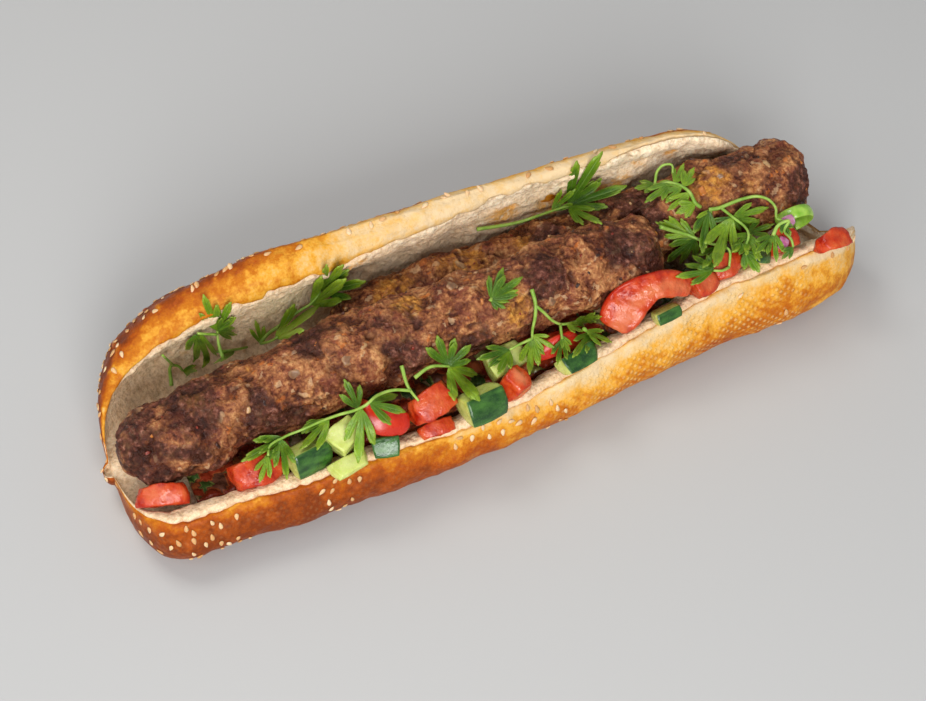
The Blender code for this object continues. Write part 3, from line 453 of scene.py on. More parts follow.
def roll_outline(x):
    """The roll's closed outline at each x, as 27 points (y, z): each is a place that moves with x by
    S-curves. The lid shrinks towards a middle point at the left and sinks at the right, as a circle's or an
    egg's edge does, and the base rounds off in the same way at both ends."""
    x = np.asarray(x, float)
    level = np.zeros_like(x)
    front = mix((-46.6, -30.3), smooth(-60, 105, x))
    lip_y = mix((-43.5, -24.5), smooth(-50, 105, x))
    lip_z = mix((25.0, 34.5), smooth(-10, 115, x))
    edge_y = mix((20.5, 28.0), smooth(-80, 40, x))
    edge_z = mix((50.0, 55.5), smooth(-80, 30, x)) - 1.5 * smooth(40, 100, x)
    rim_y, rim_z = 31.0, 57.0 - 2.2 * smooth(40, 100, x)
    pressed = smooth(-75, -35, x)
    room = 3.0 * smooth(84, 100, x) + 6.5 * smooth(98, 112, x)
    back = 5.0 * smooth(98, 112, x)
    edge_y, rim_y = edge_y + back, rim_y + 0.7 * back
    base = [
        (-3.0, 0.0), (front + 20.0, 0.0), (front + 8.5, 1.8), (front + 1.8, 7.5), (front, 14.0),
        (lip_y - 1.2, lip_z - 5.0), (lip_y + 0.3, lip_z - 0.6), (lip_y + 3.2, lip_z + 0.8),
        (lip_y + 6.8, lip_z - 0.8), (lip_y + 11.0, lip_z - 7.5), (lip_y + 18.5, 15.5),
        (3.0, 14.0), (15.0, 13.5),
    ]
    lid = [
        (mix((24.0, 27.0), pressed) + room, 16.0), (mix((27.0, 32.3), pressed) + room, 25.0),
        (mix((25.0, 31.0), pressed) + room, 37.0), (edge_y + 1.2, edge_z - 7.0), (edge_y, edge_z),
        (edge_y + 0.35 * (rim_y - edge_y), edge_z + 0.75 * (rim_z - edge_z)), (rim_y, rim_z), (36.2, 51.5),
        (41.5, 43.0), (BACK_BULGE - 0.6, 32.0), (BACK_BULGE, 20.0), (41.5, 8.5),
    ]
    sole = [(33.0, 2.0), (21.0, 0.0)]
    base, lid, sole = (
        np.stack([np.stack([level + y, level + z], -1) for y, z in part], 1) for part in (base, lid, sole)
    )
    left = blunt(x - ROLL_END_LEFT, LID_ROUNDING[0], 2.0)[:, None]
    slope = blunt(x - ROLL_END_LEFT, *LID_SLOPE)[:, None]
    middle = np.array(LID_CENTRE_LEFT)
    shrink = np.stack([np.repeat(left, lid.shape[1], 1), np.where(lid[..., 1] > middle[1], slope, left)], -1)
    lid = middle + (lid - middle) * shrink
    sunk = np.maximum(blunt(LID_END_RIGHT - x, LID_ROUNDING[1], 2.0), LID_LEAST)[:, None]
    lid[..., 1] = LID_FOOT_Z + (lid[..., 1] - LID_FOOT_Z) * np.where(lid[..., 1] > LID_FOOT_Z, sunk, 1.0)
    outline = np.concatenate([base, lid, sole], 1)
    # Behind the middle, the right end turns in towards the heel.
    y0, z0 = BASE_CENTRE
    turned_in = (1.0 - np.clip((x - HEEL[0]) / HEEL[1], 0.0, 0.97) ** 2.2) ** 0.8
    y = y0 + (outline[..., 0] - y0) * np.where(outline[..., 0] > y0, turned_in[:, None], 1.0)
    size = np.minimum(
        blunt(x - np.minimum(BASE_END_LEFT, x), BASE_ROUNDING[0], BASE_BLUNTNESS[0]),
        blunt(ROLL_END_RIGHT - x, BASE_ROUNDING[1], BASE_BLUNTNESS[1]),
    )
    size = np.maximum(size, STUB[0] * blunt(x - ROLL_END_LEFT, STUB[1], 2.0))[:, None]
    # Towards its ends the base gets low more slowly than it gets narrow.
    height = np.where(size > 0.3, 0.3 + 0.7 * size, size * 1.7)
    return np.stack([y0 + (y - y0) * size, z0 + (outline[..., 1] - z0) * height], -1)


def round_outline(outline, places):
    """Reads closed outlines at given places, 3.5 being halfway between points 3 and 4, on the cubic curve
    whose slope at each point is that of the circle-like arc through it and its two neighbours."""
    count = outline.shape[1]
    step = np.roll(outline, -1, 1) - outline
    far = np.maximum(np.linalg.norm(step, axis=-1, keepdims=True), 1e-6)
    ahead, behind = step / far, np.roll(step / far, 1, 1)
    far_behind = np.roll(far, 1, 1)
    slope = (behind * far + ahead * far_behind) / (far + far_behind)
    i = np.floor(places).astype(int) % count
    t = (places - np.floor(places))[None, :, None]
    a, b = outline[:, i], outline[:, (i + 1) % count]
    return hermite(a, b, slope[:, i] * far[:, i], slope[:, (i + 1) % count] * far[:, i], t)


def roll_stations(count):
    """Places along the roll, closer together towards the two ends."""
    turn = np.linspace(0.0, math.pi, count)
    middle = (ROLL_END_LEFT + ROLL_END_RIGHT) / 2.0
    half = (ROLL_END_RIGHT - ROLL_END_LEFT) / 2.0 - 0.3
    return middle + half * (0.8 * np.linspace(-1.0, 1.0, count) - 0.2 * np.cos(turn))


def places_round(counts):
    """Places along the outline, with the given number in each of its 27 stretches."""
    return np.concatenate([i + np.arange(count) / count for i, count in enumerate(counts)])


def roll_grid(stations, counts):
    """A grid on the plain roll, with x in table millimetres, and each column's place along the outline."""
    x = roll_stations(stations)
    places = places_round(counts)
    section = round_outline(roll_outline(x), places)
    grid = np.concatenate([np.broadcast_to(x[:, None, None], (*section.shape[:2], 1)), section], -1)
    return grid, np.broadcast_to(places, grid.shape[:2])


print("roll length", ROLL_END_RIGHT - ROLL_END_LEFT, "mm")

# %% [markdown]
# The crust and the crumb are different stuff with different detail, so each gets its own grid over the
# whole outline: the crust's is fine outside and dips just under the crumb, and the crumb's is fine on
# the cut faces and dips under the crust. Where the two surfaces cross, noise makes the torn edge.

# %% Where the crust ends and the crumb begins
# How many columns each grid has in each of the outline's 27 stretches, and how many rings along the roll.
CRUST_COUNTS = (3, 4, 6, 9, 9, 12, 9, 4, 4, 4, 3, 3, 3, 4, 4, 4, 8, 9, 9, 10, 12, 12, 10, 8, 5, 4, 3)
CRUMB_COUNTS = (1, 1, 1, 1, 1, 5, 7, 9, 12, 6, 4, 3, 4, 12, 17, 17, 13, 6, 1, 1, 1, 1, 1, 1, 1, 1, 1)
CRUST_RINGS = 500
CRUMB_RINGS = 520
# Places on the outline: 4 is the front, then come the lip's edge and the lid's, 18 is the rim, 25 the foot.
LIP_EDGE = 6.45
LID_EDGE = 16.75
EDGE_SOFTNESS = 0.22
# How many millimetres each surface dips below the other.
UNDER = 1.6
# A smooth pale scar in the front crust, and its radius.
SCAR = np.array((74.0, -36.0, 17.0))
SCAR_RADIUS = 5.0
# From where to where along the roll the crumb comes to reach over the back rim, and by how much.
PALE_RIM = (48.0, 80.0)
PALE_RIM_REACH = 1.9


def crumb_share(x, place, points):
    """1 on the cut faces and 0 on the crust, with an uneven edge between."""
    ragged = 0.35 * waves(points, 7.0, 31) + 0.18 * waves(points, 2.4, 32)
    over = PALE_RIM_REACH * smooth(*PALE_RIM, x)
    lip = smooth(-EDGE_SOFTNESS, EDGE_SOFTNESS, place - LIP_EDGE + ragged)
    return lip * smooth(-EDGE_SOFTNESS, EDGE_SOFTNESS, LID_EDGE + over - place + ragged)


def under(x):
    """How far each surface dips below the other, which is less where the roll gets thin at its ends."""
    return UNDER * (0.2 + 0.8 * smooth(1, 24, x - ROLL_END_LEFT) * smooth(1, 16, ROLL_END_RIGHT - x))


# %% [markdown]
# The crust's relief comes from how it was baked: creases where the dough was pulled, and blisters where
# steam got under its skin. Its finish needs to know how deeply each spot is baked: golden at the left, pale
# where loaves touched along the back rim, orange-brown low on the sides, and paler towards the front's right
# end, where the paleness is a painted highlight. A painted picture could say so too, but S-curves over the
# same places as the shape stay sharp at any size.


# %% The crust
def crust_relief(grid, back, front):
    """How far the crust stands out: low waves all over, creases along the pale part of the lid, blisters on
    its golden part, and shallow dents along the front. Also where the blisters are, from 0 to 1."""
    x, y, z = grid[..., 0], grid[..., 1], grid[..., 2]
    crease = 1.0 - np.abs(waves(np.stack([x / 7.0, y, z], -1), 3.2, 41))
    creased = smooth(-95, -40, x) * smooth(110, 60, x)
    blister = np.clip(waves(grid, 3.4, 42) - 0.45, 0, 1)
    lift = 0.75 * rough(grid, 17.0, 43) + 0.16 * rough(grid, 3.0, 44, 2)
    lift += back * (0.55 * creased * (crease**4 - 0.35) + 0.9 * blister * (1 - creased))
    lift += front * (0.5 * rough(grid, 8.0, 45, 2) + 0.35 * smooth(0, 40, x) * (crease - 0.6))
    return lift, blister * back * (1 - creased)


def crust_bake_and_highlight(grid, x, place, back, front, blisters):
    """How deeply the crust is baked, from 0 for cream to 1 for deep brown: half way everywhere, then more or
    less by S-curves along the roll and round the outline, with two sizes of waves. Towards the front's right
    end it is paler, as a painted highlight."""
    at_rim = smooth(16.9, 17.4, place) * smooth(20.0, 18.6, place)
    low_front = smooth(6.2, 4.6, place) * smooth(1.0, 2.0, place)
    bake_and_highlight = 0.5 + 0.12 * waves(grid, 26.0, 46)
    bake_and_highlight += smooth(18.6, 20.4, place) * smooth(25, 24, place) * 0.22
    bake_and_highlight -= at_rim * smooth(-72, -25, x) * 0.46
    bake_and_highlight -= smooth(-60, -20, x) * smooth(17.5, 16.9, place) * smooth(15, 16, place) * 0.4
    bake_and_highlight += smooth(-35, -85, x) * back * smooth(17.9, 18.9, place) * 0.3
    bake_and_highlight += front * (0.26 * smooth(30, -80, x) + 0.10)
    bake_and_highlight -= front * smooth(3.8, 6.1, place) * mix((0.14, 0.56), smooth(-60, 10, x))
    bake_and_highlight += low_front * 0.12 * smooth(40, -60, x)
    # Painted highlight: the front is paler towards its right end, as if lit there.
    bake_and_highlight -= 0.16 * smooth(100, 128, x) * front
    bake_and_highlight -= 0.12 * smooth(SCAR_RADIUS, SCAR_RADIUS / 2, np.linalg.norm(grid - SCAR, axis=-1))
    bake_and_highlight += 0.10 * rough(grid, 9.0, 47, 2) * (1 - 0.5 * at_rim)
    return np.clip(bake_and_highlight - 0.8 * blisters, 0.0, 1.0)


def make_crust():
    """The crust's mesh, and its points, outward directions and places for what is stuck on it later. Each
    point of the plain roll moves straight out by the relief, or dips under the crumb."""
    grid, place = roll_grid(CRUST_RINGS, CRUST_COUNTS)
    x = grid[..., 0]
    cut = crumb_share(x, place, grid)
    standing = smooth(0.0, 5.0, grid[..., 2])
    back = smooth(17.2, 18.0, place) * smooth(25.0, 23.0, place)
    front = smooth(1.5, 3.0, place) * smooth(7.0, 6.0, place)
    lift, blisters = crust_relief(grid, back, front)
    steady = 0.3 + 0.7 * under(x) / UNDER
    move = lift * standing * steady * (1 - cut) - under(x) * cut
    grid = grid + outward(grid) * move[..., None]
    grid[..., 2] = np.maximum(grid[..., 2], 0.0)
    # The tray's net shows along the right two thirds of the front.
    net = front * mix((0.1, 1.0), smooth(-20, 45, x)) * smooth(122, 104, x) * smooth(6.15, 5.3, place)
    net *= smooth(SCAR_RADIUS - 2.0, SCAR_RADIUS, np.linalg.norm(grid - SCAR, axis=-1))
    values = {"bake_and_highlight": crust_bake_and_highlight(grid, x, place, back, front, blisters), "net": net}
    points, quads, fans, more = closed_grid(grid, values)
    # The UV map is x, and the distance round the outline from its first column.
    steps = np.linalg.norm(np.diff(grid, axis=1, prepend=grid[:, :1]), axis=-1)
    skin = np.stack([x, np.cumsum(steps, 1)], -1).reshape(-1, 2) * MM
    skin = np.concatenate([skin, skin[:1], skin[-1:]])
    return put_mesh("bread_crust", points, quads, fans, more, skin), (grid, outward(grid), place, cut)


# %% [markdown]
# Torn crumb is a sponge. Its large holes are where they are on the real roll, so they are listed, and its
# pores are the middles of random grains in two sizes, pushed in. Juice has soaked into it in places.

# %% The crumb
# Holes in the crumb: where (x, y, z), how wide and how deep. Each is longer along the roll than high.
HOLE_STRETCH = (1.5, 1.0, 0.8)
CRUMB_HOLES = ((36.0, 30.5, 39.5, 4.2, 3.0), (-43.0, 23.0, 46.0, 2.6, 2.0),
               (-60.0, 27.0, 36.0, 2.4, 1.6), (-30.0, 28.0, 40.0, 3.4, 1.8),
               (72.0, 29.0, 48.0, 2.2, 1.4), (-12.0, 29.0, 41.0, 3.0, 1.6))
# Where juice soaked in: where (x, y, z) and how far it spread.
STAINS = ((17.0, 30.2, 41.0, 8.0), (36.0, 30.0, 37.0, 11.0), (64.0, 31.3, 40.0, 7.0),
          (71.0, 29.2, 48.0, 5.0), (-101.0, 24.0, 27.0, 4.0), (-42.0, 24.0, 47.0, 4.5),
          (54.0, 30.0, 36.0, 8.0), (-104.0, -34.0, 25.0, 3.0), (82.0, 29.0, 47.0, 3.5),
          (-130.0, 5.0, 24.0, 4.0), (-6.0, -28.0, 27.0, 3.5), (-78.0, -33.0, 25.0, 3.0))


def make_crumb():
    """The crumb's mesh. Points on the cut faces move out by torn waves and in by two sizes of pores and by
    the largest holes, and all others dip under the crust."""
    grid, place = roll_grid(CRUMB_RINGS, CRUMB_COUNTS)
    x = grid[..., 0]
    cut = crumb_share(x, place, grid)
    shown = smooth(5.2, 6.4, place) * smooth(19.2, 17.6, place)
    wide, _, kind = grains(grid, 4.6, 51)
    small, _, other = grains(grid, 1.9, 52)
    pore = smooth(0.5, 0.2, wide) * smooth(0.45, 0.65, kind)
    fine = smooth(0.52, 0.25, small) * smooth(0.35, 0.5, other)
    dents = np.zeros_like(x)
    for *middle, wide_mm, deep_mm in CRUMB_HOLES:
        far = np.linalg.norm((grid - middle) / HOLE_STRETCH, axis=-1) + 0.8 * waves(grid, 3.0, 53)
        dents += deep_mm * smooth(wide_mm, wide_mm * 0.35, far)
    torn = 0.9 * rough(grid, 11.0, 54, 2) + 0.42 * rough(grid, 3.2, 55, 2)
    lip = smooth(10.5, 9.0, place)
    puffed = smooth(6.2, 7.0, place) * smooth(9.4, 8.0, place)
    lift = torn * (1 - 0.35 * lip) - 0.85 * pore * (1 - 0.5 * lip) - 0.28 * fine - dents + 0.9 * puffed
    deep = under(x) + 0.6 * smooth(2.0, 8.0, x - ROLL_END_LEFT)
    grid = grid + outward(grid) * (lift * shown * under(x) / UNDER - deep * (1 - cut))[..., None]
    grid[..., 2] = np.maximum(grid[..., 2], 0.3)
    stain = np.zeros_like(x)
    for *middle, wide_mm in STAINS:
        far = np.linalg.norm(grid - middle, axis=-1) + 2.6 * rough(grid, 5.0, 56, 3)
        stain = np.maximum(stain, smooth(wide_mm, wide_mm * 0.3, far))
    pale = 0.35 + 0.55 * smooth(30, 80, x)
    pale = np.maximum(pale, smooth(14.8, 16.6, place) * smooth(-80, 0, x) * 0.9) * (1 - lip)
    # Painted shade: how much the finish darkens the pores and holes, as light hardly gets into them.
    hollow_shade = np.clip(0.9 * pore + 0.5 * fine + dents * 0.5, 0, 1) * (1 - 0.4 * lip)
    points, quads, fans, more = closed_grid(grid, {"pale": pale, "stain": stain, "hollow_shade": hollow_shade})
    return put_mesh("bread_crumb", points, quads, fans, more)


# %% [markdown]
# Baked crust is golden where it is thin and brown where it is thick, with fine pores whose shade is painted
# in as dark specks, and a soft shine. One value, stored on the points, chooses the colour, and finer noise
# mottles it. The tray's net is too fine for the mesh, so two crossed sets of waves on the UV map raise rows
# of small pale dots.


# %% Finishes for the crust and the crumb
# How far apart the rows of the tray's net are.
NET_MM = 3.3


def net_dots(f):
    """The net's dots, from 0 to 1: the product of two sine waves that run slantwise over the UV map."""
    skin = f.node("ShaderNodeUVMap", uv_map="skin").outputs[0]
    along, around = f.node("ShaderNodeSeparateXYZ", {0: skin}).outputs[:2]
    rows = []
    for slant in ("ADD", "SUBTRACT"):
        turn = f.times(f.math(slant, along, around), 2 * math.pi / (NET_MM * MM))
        rows.append(f.band(f.math("SINE", turn), -0.8, 1.0))
    return f.times(f.band(f.times(*rows), 0.0, 0.9), f.stored("net"), f.patches(9.0, 2.0, 0.32, 0.6))


def crust_finish():
    """Cream to brown by how deeply it is baked, which also carries a painted highlight at the front's right
    end, with the net's pale dots and small pores darkened as painted shade.
    """
    f = Finish("crust", Specular_IOR_Level=0.16)
    value = f.sum(f.stored("bake_and_highlight"), f.patches(3.2, 4.0, 0.3, 0.7, -0.09, 0.09),
                  f.patches(0.9, 3.0, 0.25, 0.75, -0.05, 0.05),
                  f.patches(7.5, 3.0, 0.35, 0.65, -0.05, 0.05))
    colour = f.ramp(value, (0.0, (0.76, 0.56, 0.32)), (0.2, (0.76, 0.48, 0.18)),
                    (0.38, (0.76, 0.36, 0.035)), (0.56, (0.54, 0.165, 0.005)),
                    (0.76, (0.38, 0.072, 0.002)), (1.0, (0.19, 0.032, 0.002)))
    net = net_dots(f)
    colour = f.blend(f.times(net, 0.42), colour, (0.86, 0.58, 0.24))
    # Painted shade: small dark specks for the shade inside the crust's pores.
    pores = f.band(f.specks(2.2), 0.16, 0.05)
    colour = f.blend(f.times(pores, 0.25), colour, (0.25, 0.09, 0.02))
    normal = f.bump(f.noise(0.8, 4.0, 0.65), 0.22)
    normal = f.bump(f.noise(2.6), 0.5, normal)
    normal = f.bump(net, 0.22, normal)
    return f.done(colour, normal, f.patches(5.0, 3.0, 0.3, 0.7, 0.36, 0.56))


def crumb_finish():
    """Grey to cream in clouds, with painted shade in the pores, in the holes and between fibres, orange
    where juice soaked in.
    """
    f = Finish("crumb", 0.85, Specular_IOR_Level=0.2, Subsurface_Weight=0.12, Subsurface_Scale=0.002,
               Subsurface_Radius=(1.0, 0.6, 0.35))
    cloud = f.noise(6.0, 4.0)
    grey = f.ramp(cloud, (0.25, (0.80, 0.55, 0.33)), (0.75, (0.96, 0.73, 0.49)))
    cream = f.ramp(cloud, (0.25, (0.98, 0.74, 0.48)), (0.75, (1.0, 0.86, 0.64)))
    colour = f.blend(f.stored("pale"), grey, cream)
    # Painted shade in the pores and holes.
    colour = f.blend(f.times(f.stored("hollow_shade"), 0.4), colour, (0.36, 0.21, 0.10))
    fibre = f.noise(1.5, 5.0, 0.7)
    # Painted shade: the fibre noise that bumps the crumb also darkens its lows.
    shades = f.ramp(fibre, (0.34, (0.62, 0.54, 0.44)), (0.54, (1.0, 1.0, 1.0)))
    colour = f.blend(0.75, colour, shades, "MULTIPLY")
    # Painted shade: the pores, dented by their bump, are darkened too.
    pores = f.specks(1.1)
    colour = f.blend(f.times(f.band(pores, 0.30, 0.12), 0.25), colour, (0.42, 0.26, 0.13))
    soak = f.times(f.stored("stain"), f.patches(2.2, 4.0, 0.3, 0.6))
    colour = f.blend(f.times(soak, 0.85), colour, (0.80, 0.36, 0.04))
    return f.done(colour, f.bump(pores, 0.25, f.bump(fibre, 0.42)))


crust_mesh, crust_surface = make_crust()
show(crust_mesh, crust_finish(), "crust", "bread_roll")
show(make_crumb(), crumb_finish(), "crust")

# %% [markdown]
# Sesame seeds are stuck on before baking, most thickly along the front and the lid's left. They are small
# teardrops lying flat. One seed's points, turned and moved by each seed's own matrix, make all of them at
# once as one mesh, which stays light and needs no instances.


# %% The sesame seeds
SEED_LENGTH = 2.9
SEED_FLATNESS = 0.42
SEED_MOST = 330
# Loose flakes of crust stuck on the lid's rim: where (x, y, z), the way they face and their size in seeds.
FLAKES = ((-95.1, 30.4, 51.2), (-96.8, 30.0, 50.6), (-84.1, 31.8, 53.8), (-82.6, 31.4, 54.2),
          (-3.0, 32.0, 57.2))
FLAKE_WAY = (0.3, -0.6, 0.7)
FLAKE_SIZE = (1.25, 1.2, 1.6)


def seed_shape(along=6, around=8):
    """A teardrop: circles along X whose radius is that of an egg, pressed flat."""
    t = np.linspace(0.02, 0.98, along)[:, None]
    turn = np.linspace(0, 2 * math.pi, around, endpoint=False)[None]
    r = np.sqrt(t * (1 - t)) * (0.5 + 0.75 * t) * 1.75
    x = np.broadcast_to((t - 0.5) * SEED_LENGTH, r.shape[:1] + turn.shape[1:])
    return np.stack([x, r * np.cos(turn), SEED_FLATNESS * r * np.sin(turn)], -1)


def scatter(base, quads, centres, outs, turns, sizes):
    """Copies of a small mesh: each stands at a centre, with its Z along the direction out, turned, and
    sized along its own three axes."""
    side = np.cross(outs, np.stack([np.sin(turns), np.cos(turns), 0.3 * np.cos(3 * turns)], -1))
    side /= np.linalg.norm(side, axis=1, keepdims=True)
    frames = np.stack([side, np.cross(outs, side), outs], 1) * sizes[:, :, None]
    points = np.einsum("nk,mkj->mnj", base, frames) + centres[:, None]
    faces = quads[None] + (np.arange(len(centres)) * len(base))[:, None, None]
    return points.reshape(-1, 3), faces.reshape(-1, quads.shape[1])


def spread(candidates, least, rng, most):
    """Chooses candidates in random order, leaving out any that is nearer than least to one before it."""
    chosen = np.empty((0, 3))
    order = []
    for k in rng.permutation(len(candidates)):
        if len(order) == most:
            break
        if not len(chosen) or np.linalg.norm(chosen - candidates[k], axis=1).min() > least:
            chosen = np.vstack([chosen, candidates[k]])
            order.append(k)
    return np.array(order)


def make_seeds():
    """All seeds and flakes as one mesh. The chance of a seed at each point of the crust is a product of
    S-curves and waves, and no two seeds are nearer than a seed's length."""
    grid, out, place, cut = crust_surface
    x, z = grid[..., 0], grid[..., 2]
    clumps = smooth(-0.35, 0.35, waves(grid, 14.0, 13))
    front = smooth(2.4, 3.4, place) * smooth(6.2, 5.4, place) * (0.06 + 0.94 * smooth(45, 5, x)) * clumps
    back = smooth(18.2, 19.2, place) * smooth(24.6, 23.4, place) * (0.3 + 0.7 * smooth(20, -60, x))
    back = np.maximum(back, 0.25 * smooth(17.4, 18.0, place) * smooth(-118, -128, x))
    chance = (0.9 * front + 0.8 * back) * (cut < 0.05) * (z > 4.0)
    rng = np.random.default_rng(12)
    kept = np.flatnonzero(rng.uniform(size=chance.size) < chance.ravel() * 0.25)
    points = grid.reshape(-1, 3)[kept]
    picked = spread(points, SEED_LENGTH, rng, SEED_MOST)
    centres, outs = points[picked], out.reshape(-1, 3)[kept][picked]
    sizes = np.repeat(rng.uniform(0.86, 1.12, (len(picked), 1)), 3, 1)
    centres = np.vstack([centres, FLAKES])
    outs = np.vstack([outs, np.tile(FLAKE_WAY, (len(FLAKES), 1))])
    sizes = np.vstack([sizes, np.tile(FLAKE_SIZE, (len(FLAKES), 1))])
    turns = rng.uniform(0, 2 * math.pi, len(centres))
    base, quads, fans, _ = closed_grid(seed_shape())
    seeds, faces = scatter(base, quads, centres + outs * 0.22, outs, turns, sizes)
    caps = (fans[None] + (np.arange(len(centres)) * len(base))[:, None, None]).reshape(-1, 3)
    tone = np.repeat(rng.uniform(size=len(centres)), len(base))
    return put_mesh("sesame_seeds", seeds, faces, caps, {"tone": tone})


def seed_finish():
    """Tan to cream, one shade for each seed."""
    f = Finish("sesame", 0.42, Specular_IOR_Level=0.4, Subsurface_Weight=0.2, Subsurface_Scale=0.001)
    colour = f.ramp(f.stored("tone"), (0.0, (0.56, 0.28, 0.09)), (0.5, (0.70, 0.43, 0.20)),
                    (1.0, (0.80, 0.58, 0.35)))
    return f.done(colour, f.bump(f.noise(0.6, 2.0), 0.05))


show(make_seeds(), seed_finish(), "crust")

# %% [markdown]
# ## The kebabs
# Minced meat is pressed round a skewer by hand and grilled, so it has soft lumps, and its surface is
# coarse grains with cracks between them. A sculpted mesh would do, but two sizes of random grains,
# pushed out in their middles and in at their borders, give the same look by a rule. The stored values say
# how charred and how fatty each spot is, how high it stands, and how much painted shade it gets in cracks,
# seams and pits.

# %% The two kebabs
# Each kebab's axis and radius: x, y, z and radius.
KEBAB_FRONT = ((-138.5, -13.6, 30.0, 13.2), (-110, -12.6, 32.6, 14.2), (-80, -10.0, 37.0, 14.2),
               (-45, -8.6, 40.5, 14.0), (0, -7.2, 42.5, 13.6), (36, -4.6, 42.0, 13.2),
               (61.5, -1.5, 40.5, 12.6))
KEBAB_BACK = ((-54, 14.0, 26.6, 11.0), (-25, 17.2, 26.6, 11.6), (15, 18.0, 27.2, 11.8),
              (45, 16.5, 29.6, 12.4), (75, 12.5, 34.0, 13.8), (100, 10.5, 37.0, 14.4),
              (126, 10.0, 38.0, 14.6))
# Burnt zones (x, y, z, radius), and patches that are orange with paprika and fat.
CHAR_FRONT = ((-124.0, -18.0, 36.0, 28.0), (-92.0, -22.0, 36.0, 14.0), (-38.0, -18.0, 44.0, 11.0),
              (50.0, -8.0, 50.0, 13.0), (-66.0, -8.0, 50.0, 8.0), (-14.0, -20.0, 42.0, 9.0),
              (14.0, -12.0, 52.0, 7.0))
CHAR_BACK = ((124.0, 3.0, 44.0, 11.0), (60.0, 14.0, 43.0, 11.0), (28.0, 16.0, 39.0, 7.0),
             (100.0, 16.0, 50.0, 7.0))
ORANGE_FRONT = ((-90.0, -8.0, 50.0, 5.0), (-112.0, -12.0, 46.0, 4.0), (2.0, -16.0, 50.0, 6.0),
                (-30.0, -4.0, 54.0, 6.0))
ORANGE_BACK = ((86.0, 8.0, 48.0, 8.0), (78.0, 6.0, 46.0, 5.0), (100.0, 4.0, 48.0, 4.0),
               (-6.0, 17.0, 38.0, 10.0), (20.0, 16.0, 39.0, 7.0), (-30.0, 17.0, 37.0, 8.0))
# Over what length a kebab's ends round off, and the front one's right end, which is squarer.
END_LENGTH = 15.0
SQUARE_END_LENGTH = 8.0
# A deep pit in the front kebab: its middle, how much longer it is than wide, and how deep.
PIT_MIDDLE = (-47.5, -13.3, 53.3)
PIT_STRETCH = (1.9, 1.0, 1.0)
PIT_DEPTH = 2.6
# Waves of the hand-shaped lumps: how long in millimetres and how many round the kebab, and their height.
LUMP_WAVES = ((42, 1), (30, 2), (22, 3), (16, 4), (12, 5), (19, 2))
LUMP_HEIGHT = 0.33


def spline(keys, x):
    """A smooth curve over the keys' first column, for each of the other columns: cubics between the keys,
    each with the slope that its neighbours give."""
    keys = np.array(keys, float)
    at = keys[:, 0]
    slopes = np.gradient(keys[:, 1:], at, axis=0)
    i = np.clip(np.searchsorted(at, x) - 1, 0, len(at) - 2)
    h = at[i + 1] - at[i]
    t = np.clip((x - at[i]) / h, 0.0, 1.0)[:, None]
    a, b = keys[i, 1:], keys[i + 1, 1:]
    return hermite(a, b, slopes[i] * h[:, None], slopes[i + 1] * h[:, None], t)


def lumps(x, turn, seed):
    """The hand-shaped unevenness of minced meat: the sum of sine waves along and round the kebab."""
    rng = np.random.default_rng(seed)
    total = 0.0
    for length, around in LUMP_WAVES:
        phase, other = rng.uniform(0, 2 * math.pi, 2)
        wave = np.sin(2 * math.pi * x / length + phase) * np.cos(around * turn + other)
        total = total + LUMP_HEIGHT * wave
    return total


def kebab_grid(keys, stations, around, seed, end_length):
    """Rings across X from a kebab's left tip to its right, closer together at the tips. Each ring is a
    circle round the axis, uneven by the lumps and smaller towards the blunt ends."""
    left, right = keys[0][0], keys[-1][0]
    share = np.linspace(0.0, math.pi, stations)
    even = np.linspace(-1, 1, stations)
    x = (left + right) / 2 - (right - left) / 2 * (0.35 * np.cos(share) - 0.65 * even)
    y, z, radius = spline(keys, x).T
    size = blunt(x - left, END_LENGTH, 2.3) * blunt(right - x, end_length, 2.6)
    turn = np.linspace(0, 2 * math.pi, around, endpoint=False)
    grid_x, grid_turn = np.meshgrid(x, turn, indexing="ij")
    r = (radius[:, None] + lumps(grid_x, grid_turn, seed)) * size[:, None]
    return np.stack([grid_x, y[:, None] + r * np.cos(grid_turn), z[:, None] + r * np.sin(grid_turn)], -1)


def clear_of_kebab(points, keys, gap):
    """Pushes points that lie inside a kebab, or nearer to it than the gap, straight out from its axis."""
    points = points.copy()
    left, right = keys[0][0], keys[-1][0]
    inside = (points[:, 0] > left - gap) & (points[:, 0] < right + gap)
    y, z, radius = spline(keys, np.clip(points[:, 0], left + 3, right - 3)).T
    away = points[:, 1:] - np.stack([y, z], -1)
    far = np.linalg.norm(away, axis=1)
    least = radius + 1.0 + gap
    near = inside & (far < least)
    points[near, 1:] += away[near] / far[near, None] * (least - far)[near, None]
    return points


def zones(points, places, ragged):
    """How far each point lies inside any of several round zones, from 0 to 1, with ragged borders."""
    found = np.zeros(points.shape[:-1])
    for a, b, c, radius in places:
        far = np.linalg.norm(points - (a, b, c), axis=-1) / radius + ragged
        found = np.maximum(found, smooth(1.15, 0.45, far))
    return found


